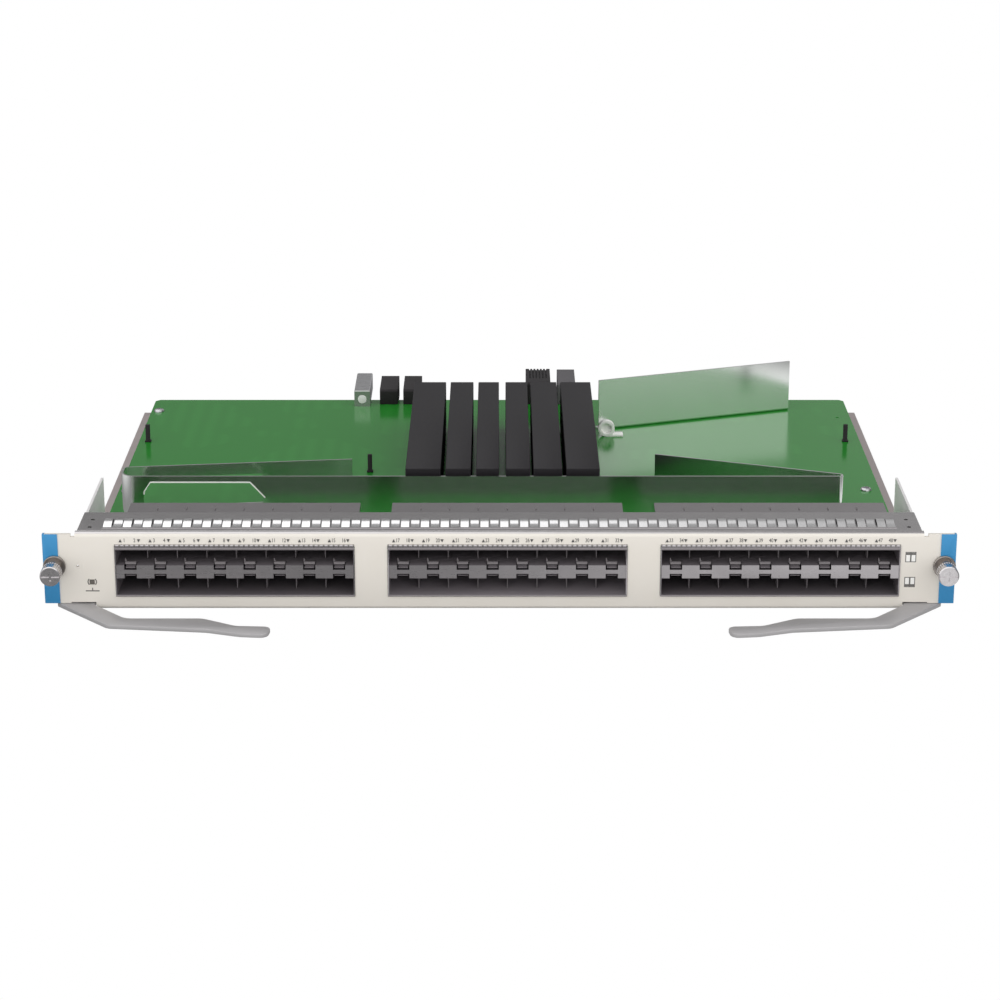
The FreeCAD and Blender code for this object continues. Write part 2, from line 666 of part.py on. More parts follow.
def front_frame():
    """A folded top flange with a front lip, two arms that run back, and an ear for each lever."""
    middle = FRAME_TOP - FRAME_SHEET / 2
    lip = FACE_TOP_RETURN + FRAME_SHEET / 2
    path = [(lip, FRAME_TOP - FRAME_LIP), (lip, middle), (FRAME_BACK, middle)]
    section = bent_sheet(path, [FRAME_BEND], FRAME_SHEET)
    flange = push(section, 2 * FRAME_HALF_WIDTH, SECTION, Vector(-FRAME_HALF_WIDTH, 0, 0))
    outer = -FRAME_HALF_WIDTH
    inner = outer + FRAME_SHEET
    arm_front = FACE_TOP_RETURN + FRAME_SHEET
    left = [
        block(outer, inner, arm_front, ARM_BACK, BOARD_TOP, ARM_TOP),
        block(outer, inner, arm_front, FRAME_BACK, BOARD_TOP, middle),
        block(outer, inner, EAR_FRONT, ARM_FOOT_BACK, END_BOTTOM, BOARD_TOP + PAST),
        lever_ear(),
    ]
    frame = joined([flange] + left + [mirrored(piece) for piece in left])
    for side in (-1, 1):
        for y in FRAME_HOLE_PLACES:
            hole_x = side * (FRAME_HALF_WIDTH - FRAME_HOLE_INSET)
            hole = closed_face(regular(SMALL_SIDES, FRAME_HOLE_RADIUS, hole_x, y))
            frame = frame.cut(push(hole, FRAME_SHEET + 2 * PAST, at=Vector(0, 0, FRAME_TOP - FRAME_SHEET - PAST)))
        pin = Vector(side * PIVOT_X, PIVOT_Y, 0)
        frame = frame.cut(rod(PIN_RADIUS, pin, pin + Vector(0, 0, BOARD_TOP)))
    return frame


def finger_strip():
    """A spring strip of raised fingers, every other one lower, on the frame's top flange."""
    half_length = FINGER_COUNT * FINGER_PITCH / 2
    base = FRAME_TOP + FINGER_SHEET
    band = block(
        -half_length, half_length,
        FINGER_FRONT - FINGER_BAND, FINGER_BACK + FINGER_BAND,
        FRAME_TOP, base,
    )
    middle = (FINGER_FRONT + FINGER_BACK) / 2
    strip = [band]
    for i in range(FINGER_COUNT):
        rise = FINGER_RISES[i % len(FINGER_RISES)]
        face = closed_face([(FINGER_FRONT, base), (middle, base + rise), (FINGER_BACK, base)])
        x = -half_length + (i + 0.5) * FINGER_PITCH - FINGER_WIDTH / 2
        strip.append(push(face, FINGER_WIDTH, SECTION, Vector(x, 0, 0)))
    return Part.makeCompound(strip)


def main_board():
    """The circuit board, notched at the front for the frame's arms and chamfered at the back."""
    notch_x = FRAME_HALF_WIDTH - FRAME_SHEET - BOARD_CLEARANCE
    notch_y = ARM_FOOT_BACK + BOARD_CLEARANCE
    right = [
        (notch_x, BOARD_FRONT),
        (notch_x, notch_y),
        (BOARD_HALF_WIDTH, notch_y),
        (BOARD_HALF_WIDTH, BOARD_BACK - BOARD_CORNER),
        (BOARD_HALF_WIDTH - BOARD_CORNER, BOARD_BACK),
    ]
    outline = right + [(-x, y) for x, y in reversed(right)]
    board = push(closed_face(outline), BOARD_THICKNESS, at=Vector(0, 0, BOARD_BOTTOM))
    for x, y in on_board(LOCATING_PLACES):
        hole = closed_face(regular(SMALL_SIDES, LOCATING_HOLE_RADIUS, x, y))
        board = board.cut(push(hole, BOARD_THICKNESS + 2 * PAST, at=Vector(0, 0, BOARD_BOTTOM - PAST)))
    return board


def tray():
    """The folded tray: a floor, two stepped ledges that run in the chassis, and a front tongue."""
    web = BOARD_HALF_WIDTH + BOARD_CLEARANCE
    right = [
        (web + TRAY_SHEET, 0),
        (web + TRAY_SHEET, TRAY_LEDGE_TOP - TRAY_SHEET),
        (web + TRAY_SHEET + TRAY_LEDGE_REACH, TRAY_LEDGE_TOP - TRAY_SHEET),
        (web + TRAY_SHEET + TRAY_LEDGE_REACH, TRAY_LEDGE_TOP),
        (web, TRAY_LEDGE_TOP),
        (web, TRAY_SHEET),
    ]
    section = closed_face(right + [(-x, z) for x, z in reversed(right)])
    floor = push(section, TRAY_BACK - TRAY_SHOULDER, ELEVATION, Vector(0, TRAY_BACK, 0))
    tongue = block(
        -TRAY_TONGUE_HALF_WIDTH, TRAY_TONGUE_HALF_WIDTH,
        FACE_FOOT_RETURN, TRAY_SHOULDER,
        0, TRAY_SHEET,
    )
    return joined([floor, tongue])


def board_standoffs():
    """Six-sided spacers between the tray and the board."""
    spacers = []
    for x, y in on_board(SCREW_PLACES + LOCATING_PLACES):
        plan = closed_face(regular(STANDOFF_SIDES, STANDOFF_RADIUS, x, y))
        spacers.append(push(plan, BOARD_BOTTOM - TRAY_SHEET, at=Vector(0, 0, TRAY_SHEET)))
    return Part.makeCompound(spacers)


def board_screws():
    """The heads of the screws that hold the board on its spacers."""
    heads = []
    for x, y in on_board(SCREW_PLACES):
        plan = closed_face(regular(SMALL_SIDES, SCREW_HEAD_RADIUS, x, y))
        heads.append(push(plan, SCREW_HEAD_HEIGHT, at=Vector(0, 0, BOARD_TOP)))
    return Part.makeCompound(heads)


def air_baffle():
    """One folded sheet: a front wall and a wing turned back at each end, with two cut-outs."""
    wing_start = (BAFFLE_LEFT_X, BAFFLE_WALL_Y + LEFT_END_DEPTH)
    wing_end = (BAFFLE_LEFT_X + LEFT_WING_LENGTH, wing_start[1] + LEFT_WING_RISE)
    path = [
        wing_end,
        wing_start,
        (BAFFLE_LEFT_X, BAFFLE_WALL_Y),
        (BAFFLE_RIGHT_X, BAFFLE_WALL_Y),
        (BAFFLE_RIGHT_X - RIGHT_WING_LENGTH, BAFFLE_WALL_Y + RIGHT_WING_RISE),
    ]
    radii = [BAFFLE_FOLD_BEND, BAFFLE_LEFT_BEND, BAFFLE_RIGHT_BEND]
    section = bent_sheet(path, radii, GUIDE_SHEET)
    baffle = push(section, BAFFLE_TOP - BOARD_TOP, at=Vector(0, 0, BOARD_TOP))
    cutter_at = Vector(BAFFLE_LEFT_X, BAFFLE_WALL_Y + PAST, BOARD_TOP)
    cutter = push(closed_face(CUTOUT_OUTLINE), 2 * PAST, ELEVATION, cutter_at)
    window = block(
        BAFFLE_LEFT_X + WING_WINDOW_START, BAFFLE_LEFT_X + WING_WINDOW_END,
        wing_start[1] - PAST, wing_end[1],
        BOARD_TOP + WING_WINDOW_FOOT, BOARD_TOP + WING_WINDOW_FOOT + WING_WINDOW_HEIGHT,
    )
    return baffle.cut(cutter).cut(window)


def tall_guide():
    """The tall slanted sheet on the right, with a foot turned back along the board."""
    start = Vector(*TALL_GUIDE_START, 0)
    end = Vector(*TALL_GUIDE_END, 0)
    along = (end - start).normalize()
    length = (end - start).Length
    upright = [
        (0, TALL_GUIDE_HEIGHT),
        (0, GUIDE_SHEET / 2),
        (TALL_GUIDE_FOOT, GUIDE_SHEET / 2),
    ]
    section = bent_sheet(upright, [GUIDE_SHEET], GUIDE_SHEET)
    sheet = push(section, length, SECTION)
    heading = math.degrees(math.atan2(along.y, along.x))
    sheet.Placement = FreeCAD.Placement(start + Vector(0, 0, BOARD_TOP), Rotation(Vector(0, 0, 1), heading)) * sheet.Placement
    return sheet


def guide_clip():
    """A moulded round clip with a recess in its face and a flat tail, standing on the board."""
    x = TALL_GUIDE_START[0] + CLIP_RIGHT_OF_GUIDE
    front = TALL_GUIDE_START[1] - CLIP_BEFORE_GUIDE
    centre = Vector(x, front, BOARD_TOP + CLIP_RADIUS)
    face = closed_face(regular(2 * SMALL_SIDES, CLIP_RADIUS))
    disc = push(face, CLIP_THICKNESS, ELEVATION, centre + Vector(0, CLIP_THICKNESS, 0))
    tail = block(
        x, x + CLIP_TAIL,
        front, front + CLIP_TAIL_DEPTH,
        BOARD_TOP, BOARD_TOP + CLIP_TAIL_HEIGHT,
    )
    hollow = closed_face(regular(2 * SMALL_SIDES, CLIP_RECESS_RADIUS))
    recess = push(hollow, CLIP_RECESS_DEPTH + PAST, ELEVATION, centre + Vector(0, CLIP_RECESS_DEPTH, 0))
    return joined([disc, tail]).cut(recess)


def heatsink(sides):
    """A closed extrusion, open at its ends, with fins inside that make channels for the air."""
    x0, x1 = sides
    body = block(x0, x1, HEATSINK_FRONT, HEATSINK_BACK, HEATSINK_FOOT, HEATSINK_TOP)
    count = round((x1 - x0 - FIN_THICKNESS) / FIN_PITCH)
    pitch = (x1 - x0 - FIN_THICKNESS) / count
    channels = []
    for i in range(count):
        x = x0 + FIN_THICKNESS + i * pitch
        channels.append(block(
            x, x + pitch - FIN_THICKNESS,
            HEATSINK_FRONT - PAST, HEATSINK_BACK + PAST,
            HEATSINK_FOOT + HEATSINK_BASE, HEATSINK_TOP - HEATSINK_COVER,
        ))
    return body.cut(Part.makeCompound(channels))


def port_chips():
    """The packages under the heat sinks."""
    chips = []
    for x0, x1 in HEATSINK_SIDES:
        for y in CHIP_PLACES:
            chips.append(block(
                x0 + CHIP_MARGIN, x1 - CHIP_MARGIN,
                HEATSINK_FRONT + y, HEATSINK_FRONT + y + CHIP_LENGTH,
                BOARD_TOP, HEATSINK_FOOT,
            ))
    return Part.makeCompound(chips)


def back_connector(sides, height, ribs):
    """A moulded connector that overhangs the board's back edge, with ribs along its top."""
    x0, x1 = sides
    top = BOARD_TOP + height
    points = [
        (CONNECTOR_FRONT, BOARD_TOP),
        (CONNECTOR_FRONT, top - PAST),
        (CONNECTOR_FRONT + PAST, top),
        (CONNECTOR_BACK, top),
        (CONNECTOR_BACK, BOARD_TOP - CONNECTOR_HANG),
        (BOARD_BACK + SHORT, BOARD_TOP - CONNECTOR_HANG),
        (BOARD_BACK + SHORT, BOARD_TOP),
    ]
    body = push(closed_face(points), x1 - x0, SECTION, Vector(x0, 0, 0))
    if ribs:
        count = int((x1 - x0) / RIB_PITCH) - 1
        first = (x0 + x1) / 2 - (count - 1) * RIB_PITCH / 2
        grooves = []
        for i in range(count):
            x = first + i * RIB_PITCH
            grooves.append(block(
                x - RIB_GAP / 2, x + RIB_GAP / 2,
                BOARD_BACK, CONNECTOR_BACK + PAST,
                top - RIB_DEPTH, top + PAST,
            ))
        body = body.cut(Part.makeCompound(grooves))
    return body


def bush_axis():
    """A point on the guide bush's axis."""
    return Vector(sum(GUIDE_SIDES) / 2, GUIDE_FRONT, BOARD_TOP + BUSH_LEVEL)


def guide_block():
    """The block at the back edge that takes the backplane's guide pin."""
    x0, x1 = GUIDE_SIDES
    body = block(x0, x1, GUIDE_FRONT, GUIDE_BACK, BOARD_TOP, BOARD_TOP + GUIDE_HEIGHT)
    edges = [e for e in body.Edges if abs(e.BoundBox.ZMin - (BOARD_TOP + GUIDE_HEIGHT)) < SHORT]
    body = body.makeChamfer(PAST / 2, edges)
    start = bush_axis() - Vector(0, PAST, 0)
    return body.cut(rod(BUSH_RADIUS, start, start + Vector(0, GUIDE_BACK - GUIDE_FRONT + 2 * PAST, 0)))


def guide_bush():
    """The steel bush in the guide block, closed at the front."""
    start = bush_axis()
    length = GUIDE_BACK - GUIDE_FRONT
    body = rod(BUSH_RADIUS, start, start + Vector(0, length, 0))
    return body.cut(rod(BUSH_BORE, start + Vector(0, BUSH_END, 0), start + Vector(0, length + PAST, 0)))


def board_posts():
    """Short moulded posts standing on the board."""
    posts = []
    middle = (HEATSINK_SIDES[0][0] - MIDDLE_POST_FROM_HEATSINKS, BOARD_BACK - MIDDLE_POST_FROM_BACK)
    for x, y in on_board(POST_PLACES) + [middle]:
        half_x = POST_WIDTH / 2
        half_y = POST_DEPTH / 2
        foot_x = half_x + POST_FOOT_MARGIN
        foot_y = half_y + POST_FOOT_MARGIN
        foot_top = BOARD_TOP + POST_FOOT_HEIGHT
        foot = block(x - foot_x, x + foot_x, y - foot_y, y + foot_y, BOARD_TOP, foot_top)
        stem = block(x - half_x, x + half_x, y - half_y, y + half_y, foot_top, BOARD_TOP + POST_HEIGHT)
        posts.append(joined([foot, stem]))
    return Part.makeCompound(posts)


def ejector_lever():
    """The left lever: a flat handle with a claw behind the faceplate."""
    lever = push(closed_face(LEVER_OUTLINE), LEVER_SHEET, at=Vector(PIVOT_X, PIVOT_Y, LEVER_BOTTOM))
    pin = Vector(PIVOT_X, PIVOT_Y, 0)
    return lever.cut(rod(PIN_RADIUS + PIN_CLEARANCE, pin, pin + Vector(0, 0, LEVER_TOP + PAST)))


def lever_pin():
    """The pin pressed into the left ear, with a foot that holds the lever under it."""
    at = Vector(PIVOT_X, PIVOT_Y, 0)
    up = Vector(0, 0, 1)
    foot_top = LEVER_BOTTOM - PIN_END_PLAY
    foot = rod(PIN_FOOT_RADIUS, at + up * (foot_top - PIN_FOOT_HEIGHT), at + up * foot_top)
    return joined([foot, rod(PIN_RADIUS, at + up * foot_top, at + up * (END_BOTTOM + FRAME_SHEET))])


def washer_front():
    """The front of the washer, which runs against the inside of the knob."""
    return KNOB_FRONT + KNOB_FACE + WASHER_CLEARANCE


def screw_ferrule():
    """The turned ferrule pressed through the faceplate: the spring bears on it and the neck slides in it."""
    flange_back = -CAP_SKIN
    flange_front = flange_back - FERRULE_FLANGE
    bore = NECK_RADIUS + WASHER_CLEARANCE
    return turned([
        (bore, FERRULE_FRONT),
        (FERRULE_BARREL_RADIUS, FERRULE_FRONT),
        (FERRULE_BARREL_RADIUS, flange_front),
        (FERRULE_FLANGE_RADIUS, flange_front),
        (FERRULE_FLANGE_RADIUS, flange_back),
        (FERRULE_SHANK_RADIUS, flange_back),
        (FERRULE_SHANK_RADIUS, FERRULE_BACK),
        (bore, FERRULE_BACK),
    ])


def screw_washer():
    """The washer between the knob and the spring."""
    inner = NECK_RADIUS + WASHER_CLEARANCE
    front = washer_front()
    back = front + WASHER_THICKNESS
    return turned([(inner, front), (WASHER_RADIUS, front), (WASHER_RADIUS, back), (inner, back)])


def screw_spring():
    """The square-wire spring that pushes the knob away from the ferrule."""
    middle = SPRING_OUTER_RADIUS - SPRING_WIRE / 2
    front = washer_front() + WASHER_THICKNESS
    rise = FERRULE_FRONT - front - SPRING_WIRE
    half = SPRING_WIRE / 2
    square = [(-half, -half), (half, -half), (half, half), (-half, half)]
    count = SPRING_TURNS * SPRING_STATIONS
    stations = []
    for i in range(count + 1):
        turn = 2 * math.pi * i / SPRING_STATIONS
        y = front + half + rise * i / count
        out = Vector(math.cos(turn), 0, math.sin(turn))
        corners = [out * (middle + a) + Vector(0, y + b, 0) for a, b in square]
        stations.append(Part.makePolygon(corners + corners[:1]))
    return Part.makeLoft(stations, True, True)


def screw_shaft():
    """The screw: a neck that slides in the ferrule and a thicker threaded tip that can't pass it."""
    neck_front = KNOB_FRONT + KNOB_FACE
    thread_front = FERRULE_BACK + WASHER_CLEARANCE
    return turned([
        (0, neck_front),
        (NECK_RADIUS, neck_front),
        (NECK_RADIUS, thread_front),
        (THREAD_RADIUS, thread_front),
        (THREAD_RADIUS, THREAD_END),
        (0, THREAD_END),
    ])


def screw_knob():
    """The knurled knob, hollow behind so that it slides over the ferrule, with a driver slot."""
    skirt = FERRULE_BARREL_RADIUS + KNOB_SKIRT_CLEARANCE
    face_back = KNOB_FRONT + KNOB_FACE
    points = []
    step = math.pi / KNOB_GROOVES
    for i in range(2 * KNOB_GROOVES):
        radius = KNOB_RADIUS - (i % 2) * KNOB_GROOVE_DEPTH
        points.append((radius * math.cos(i * step), radius * math.sin(i * step)))
    knob = push(closed_face(points), KNOB_BACK - KNOB_FRONT, Rotation(Vector(1, 0, 0), -90), Vector(0, KNOB_FRONT, 0))
    knob = knob.cut(rod(skirt, Vector(0, face_back, 0), Vector(0, KNOB_BACK + PAST, 0)))
    half = DRIVE_SLOT_WIDTH / 2
    slot_back = KNOB_FRONT + DRIVE_SLOT_DEPTH
    return knob.cut(block(-KNOB_RADIUS, KNOB_RADIUS, KNOB_FRONT - PAST, slot_back, -half, half))


def captive(shape, side):
    """A piece of the captive screw, moved to its end of the faceplate."""
    placed = shape.copy()
    placed.translate(Vector(side * CAPTIVE_X, 0, CAPTIVE_LEVEL))
    return placed


def main():
    os.makedirs("parts", exist_ok=True)
    save("faceplate", faceplate())
    save("right_end_cap", end_cap())
    save("left_end_cap", mirrored(end_cap()))
    for number in port_blocks():
        save(f"cage_shell_{number}", cage_shell(number))
        save(f"cage_septa_{number}", cage_septa(number))
        save(f"cage_divider_{number}", cage_divider(number))
        save(f"port_connectors_{number}", port_connectors(number))
        save(f"port_lights_{number}", port_lights(number))
    save("status_light", status_light())
    save("front_frame", front_frame())
    save("finger_strip", finger_strip())
    save("main_board", main_board())
    save("tray", tray())
    save("board_standoffs", board_standoffs())
    save("board_screws", board_screws())
    save("air_baffle", air_baffle())
    save("tall_guide", tall_guide())
    save("guide_clip", guide_clip())
    for number, sides in enumerate(HEATSINK_SIDES, start=1):
        save(f"heatsink_{number}", heatsink(sides))
    save("port_chips", port_chips())
    for number, sides in enumerate(POWER_CONNECTOR_SIDES, start=1):
        save(f"power_connector_{number}", back_connector(sides, POWER_CONNECTOR_HEIGHT, ribs=False))
    save("signal_connector", back_connector(SIGNAL_CONNECTOR_SIDES, SIGNAL_CONNECTOR_HEIGHT, ribs=True))
    save("fabric_connector", back_connector(FABRIC_CONNECTOR_SIDES, FABRIC_CONNECTOR_HEIGHT, ribs=False))
    save("guide_block", guide_block())
    save("guide_bush", guide_bush())
    save("board_posts", board_posts())
    save("left_ejector_lever", ejector_lever())
    save("right_ejector_lever", mirrored(ejector_lever()))
    save("lever_pins", Part.makeCompound([lever_pin(), mirrored(lever_pin())]))
    ferrules = [captive(screw_ferrule(), side) for side in (-1, 1)]
    save("screw_ferrules", Part.makeCompound(ferrules))
    for name, side in (("left", -1), ("right", 1)):
        save(f"{name}_screw_washer", captive(screw_washer(), side))
        save(f"{name}_screw_spring", captive(screw_spring(), side))
        save(f"{name}_screw_shaft", captive(screw_shaft(), side))
        save(f"{name}_screw_knob", captive(screw_knob(), side))


main()
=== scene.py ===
# %% [markdown]
# # A 48-port line card for a modular switch
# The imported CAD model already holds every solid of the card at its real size. This script dresses
# it: it gives each solid the finish of the real material, and adds the small things that a solid
# model leaves out, such as printed numbers, springs, threads and knurls. Blender works in metres
# here, and every piece goes where the CAD solids are, so nothing is fitted by eye.

# %% Load the frame and keep its box
import json
import math

import bmesh
import bpy
from mathutils import Matrix, Vector


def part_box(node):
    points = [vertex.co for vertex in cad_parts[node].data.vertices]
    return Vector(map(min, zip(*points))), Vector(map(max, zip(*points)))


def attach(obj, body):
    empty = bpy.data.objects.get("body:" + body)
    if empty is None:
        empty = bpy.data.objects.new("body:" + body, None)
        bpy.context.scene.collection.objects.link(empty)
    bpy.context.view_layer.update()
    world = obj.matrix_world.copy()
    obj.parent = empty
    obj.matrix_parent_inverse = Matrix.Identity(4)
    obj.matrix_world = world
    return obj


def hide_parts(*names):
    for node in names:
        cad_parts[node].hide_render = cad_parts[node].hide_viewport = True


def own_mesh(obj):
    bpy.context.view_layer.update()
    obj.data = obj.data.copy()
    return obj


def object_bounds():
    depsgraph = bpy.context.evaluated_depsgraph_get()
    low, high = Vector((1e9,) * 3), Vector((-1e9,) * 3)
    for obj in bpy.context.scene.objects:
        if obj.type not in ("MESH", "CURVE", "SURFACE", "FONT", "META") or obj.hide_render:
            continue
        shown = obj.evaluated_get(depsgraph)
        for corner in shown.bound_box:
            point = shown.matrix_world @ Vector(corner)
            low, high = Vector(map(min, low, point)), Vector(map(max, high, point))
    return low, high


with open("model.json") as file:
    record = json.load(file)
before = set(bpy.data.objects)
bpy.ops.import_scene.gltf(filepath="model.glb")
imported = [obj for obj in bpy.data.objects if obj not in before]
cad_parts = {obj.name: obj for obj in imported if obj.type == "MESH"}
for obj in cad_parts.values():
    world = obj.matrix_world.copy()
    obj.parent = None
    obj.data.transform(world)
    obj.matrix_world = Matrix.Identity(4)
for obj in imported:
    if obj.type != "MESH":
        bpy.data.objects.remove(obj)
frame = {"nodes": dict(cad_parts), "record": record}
nodes = frame["nodes"]
cad_box = [list(corner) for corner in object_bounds()]
MM = 0.001
BLOCKS = (1, 2, 3)
COLUMNS = 8
PORT_PITCH = 14.25 * MM
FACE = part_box("faceplate")[0].y
print("CAD box in metres:", cad_box)
print("nodes:", len(nodes), "front of the faceplate at Y =", round(FACE, 4))

# %% [markdown]
# ## Camera
# The photograph looks at the front from a little above, through a long lens: lines that run into
# the depth hardly converge. A lens of about 100 mm at 1.25 m in front of the faceplate, tilted
# down by 18.55 degrees, puts the corners of the faceplate and of the board where they are there.

# %% Camera at the photograph's viewing angle
camera = bpy.data.objects.new("camera", bpy.data.cameras.new("camera"))
camera.data.sensor_width = 36.0
camera.data.lens = 100.08
camera.location = (0.0003, FACE - 1.25, 0.4747)
camera.rotation_euler = (math.radians(90 - 18.55), 0, 0)
bpy.context.scene.collection.objects.link(camera)
bpy.context.scene.camera = camera
bpy.context.scene.view_settings.view_transform = "Standard"
print("camera at", [round(c, 4) for c in camera.location])

# %% [markdown]
# ## One helper for every node
# A material is a small graph of nodes. Each node needs its settings and its links, so one helper
# takes both: a setting is a property of the node or the value of an input. The colours are
# written as sRGB hex codes, as a paint maker gives them, and turned to linear light in one place.
# Patterns are sized in real millimetres: a noise texture's scale is how many features fit in a
# metre.

# %% Node helper, colours and real sizes
def add_node(tree, kind, settings, links=None):
    """Adds a node, or takes the one of that name, with its settings and what feeds it."""
    node = tree.nodes.get(kind) or tree.nodes.new(kind)
    for key, value in settings.items():
        if isinstance(key, str) and hasattr(node, key):
            setattr(node, key, value)
        else:
            node.inputs[key].default_value = value
    for key, source in (links or {}).items():
        tree.links.new(source, node.inputs[key])
    return node


def linear(code):
    """The linear colour of an sRGB hex code."""
    parts = [int(code[i:i + 2], 16) / 255 for i in (1, 3, 5)]
    return [p / 12.92 if p <= 0.04045 else ((p + 0.055) / 1.055) ** 2.4 for p in parts] + [1.0]


def per_metre(millimetres):
    """The texture scale whose features are this long."""
    return 1 / (millimetres * MM)


finishes = {}


def start_finish(name):
    """A new material, kept under its name, with its tree and its Object coordinates."""
    material = bpy.data.materials.new(name)
    material.use_nodes = True
    finishes[name] = material
    place = add_node(material.node_tree, "ShaderNodeTexCoord", {}).outputs["Object"]
    return material.node_tree, place


print("a 2 mm grain has the scale", per_metre(2))

# %% [markdown]
# ## Painted and moulded surfaces
# The faceplate is steel with a cream powder coat. Powder melts into a skin with a fine orange
# peel, so its highlight is broad and a little broken. The end caps are moulded ABS, whose mould
# was spark-eroded to an even fine grain. Both are one recipe: a colour with a faint drift, a
# grain of a real size as a bump, and the same grain in the roughness.

# %% Powder coat and moulded plastics
def skin(name, colour, shade, roughness, grain, depth, specular=0.5):
    """A painted or moulded surface: colour drift, grain in millimetres and its depth in microns."""
    tree, place = start_finish(name)
    drift = add_node(
        tree, "ShaderNodeTexNoise",
        {"Scale": per_metre(18), "Detail": 2.0},
        {"Vector": place},
    )
    peel = add_node(
        tree, "ShaderNodeTexNoise",
        {"Scale": per_metre(grain), "Detail": 3.0},
        {"Vector": place},
    )
    tone = add_node(
        tree, "ShaderNodeMix",
        {"data_type": "RGBA", 6: linear(shade), 7: linear(colour)},
        {0: drift.outputs[0]},
    )
    gloss = add_node(
        tree, "ShaderNodeMapRange",
        {"To Min": roughness - 0.04, "To Max": roughness + 0.06},
        {"Value": peel.outputs[0]},
    )
    relief = add_node(
        tree, "ShaderNodeBump",
        {"Strength": 0.4, "Distance": depth * 1e-6},
        {"Height": peel.outputs[0]},
    )
    add_node(
        tree, "Principled BSDF",
        {"Specular IOR Level": specular},
        {"Base Color": tone.outputs[2], "Roughness": gloss.outputs[0], "Normal": relief.outputs[0]},
    )


# Cream powder coat: a satin skin with orange peel of about 0.9 mm
skin("cream_paint", "#EDE8E0", "#E8E2D8", 0.42, 0.9, 12, specular=0.3)
# ABS with a spark-eroded grain of 0.3 mm: even, soft highlights
skin("blue_plastic", "#4094CA", "#3B8DC3", 0.45, 0.3, 10, specular=0.35)
# Glass-filled nylon of the connectors: dry, with a fine speckle
skin("black_plastic", "#2B282A", "#242224", 0.5, 0.35, 8, specular=0.15)
# Painted shade: a gray backing behind the contact trims darkens the gaps between their bumps
skin("gap_shade_backing", "#A5A19D", "#9A9692", 0.8, 0.3, 20, specular=0.1)
# The port sockets are moulded in a browner, paler nylon
skin("socket_plastic", "#5C5557", "#544E50", 0.5, 0.35, 8, specular=0.3)
skin("gray_plastic", "#656366", "#5D5B5E", 0.5, 0.35, 8, specular=0.15)
# White nylon clip: slightly waxy
skin("white_plastic", "#FBFBF8", "#F4F4F0", 0.35, 0.6, 5)
# Enamel on the cast levers: thin, satin, with the casting showing through a little
skin("lever_paint", "#B5B3B4", "#ACAAAB", 0.36, 1.2, 10, specular=0.3)
# Printing ink on the faceplate
skin("screen_ink", "#6B6966", "#63615E", 0.5, 0.4, 2)
skin("white_ink", "#FBFAF7", "#F5F4F0", 0.5, 0.4, 2)
# Smoked lenses over the port lights, and the clear window of the status light
skin("light_window", "#5C5B5A", "#545352", 0.3, 0.5, 2)
skin("status_window", "#6E6963", "#66615B", 0.2, 0.5, 2)
print("painted and moulded finishes:", len(finishes))

# %% [markdown]
# ## Sheet metals
# Most of the card is folded sheet: zinc-plated steel in the frame, passivated steel in the tray,
# nickel silver in the cages, and polished stainless steel in the air guides. Rolling leaves fine
# streaks in one direction, and plating leaves soft patches. A metal has no colour of its own
# besides what it reflects, so it keeps the default IOR and gets its look from base colour,
# roughness and the room.

# %% Rolled, plated and polished metals
def rolled(name, colour, tarnish, roughness, streak, spread, depth=1.0, metallic=1.0):
    """A rolled sheet: streaks and patches in millimetres, the streaks' depth in microns."""
    tree, place = start_finish(name)
    along = add_node(tree, "ShaderNodeMapping", {"Scale": (0.08, 1.0, 1.0)}, {"Vector": place})
    lines = add_node(
        tree, "ShaderNodeTexNoise",
        {"Scale": per_metre(streak), "Detail": 4.0, "Roughness": 0.6},
        {"Vector": along.outputs[0]},
    )
    patch = add_node(
        tree, "ShaderNodeTexNoise",
        {"Scale": per_metre(spread), "Detail": 3.0},
        {"Vector": place},
    )
    tone = add_node(
        tree, "ShaderNodeMix",
        {"data_type": "RGBA", 6: linear(tarnish), 7: linear(colour)},
        {0: patch.outputs[0]},
    )
    gloss = add_node(
        tree, "ShaderNodeMapRange",
        {"To Min": roughness * 0.8, "To Max": roughness * 1.25},
        {"Value": lines.outputs[0]},
    )
    relief = add_node(
        tree, "ShaderNodeBump",
        {"Strength": 0.3, "Distance": depth * 1e-6},
        {"Height": lines.outputs[0]},
    )
    add_node(
        tree, "Principled BSDF",
        {"Metallic": metallic},
        {"Base Color": tone.outputs[2], "Roughness": gloss.outputs[0], "Normal": relief.outputs[0]},
    )


# Zinc-plated steel of the front frame: gray, with broad dull reflections
rolled("plated_sheet", "#C5C2C3", "#B6B3B4", 0.22, 0.7, 8, 3)
# Painted light: a near-white, nearly non-metallic copy of the same zinc, on the arms behind the
# flange
rolled("dull_zinc", "#F0EEEE", "#E6E4E4", 0.45, 0.7, 8, 3, metallic=0.05)
# Beryllium copper with bright tin: the spring fingers
rolled("spring_sheet", "#EDECED", "#DCDBDC", 0.2, 0.5, 3)
# Nickel silver of the port cages
rolled("cage_sheet", "#A39FA1", "#979395", 0.22, 0.6, 10, 2, metallic=0.8)
# Painted shade: inside the cages the same metal gets a darker, duller copy, so it hardly mirrors
rolled("inner_painted_shade", "#726C70", "#6A6468", 0.55, 0.6, 10, 2, metallic=0.1)
# The folded strips round the cage mouths are dull nickel
rolled("trim_sheet", "#8C8789", "#807B7D", 0.4, 0.6, 6, 2, metallic=0.5)
# Painted shade: the plates between the ports are the same metal in a darker, less metallic copy
rolled("septum_sheet", "#7A7577", "#6E696B", 0.4, 0.6, 10, 2, metallic=0.3)
rolled("divider_sheet", "#BDB9BB", "#AFABAD", 0.28, 0.6, 6, 2)
# Passivated steel tray, with a faint pink cast from the conversion coat
rolled("tray_sheet", "#C6BBBA", "#B6ACAB", 0.36, 0.9, 16, 3)
# Polished stainless steel of the air guides: nearly a mirror, faintly streaked
rolled("polished_sheet", "#F2F4F2", "#E8EAE8", 0.17, 0.5, 20, 0.1)
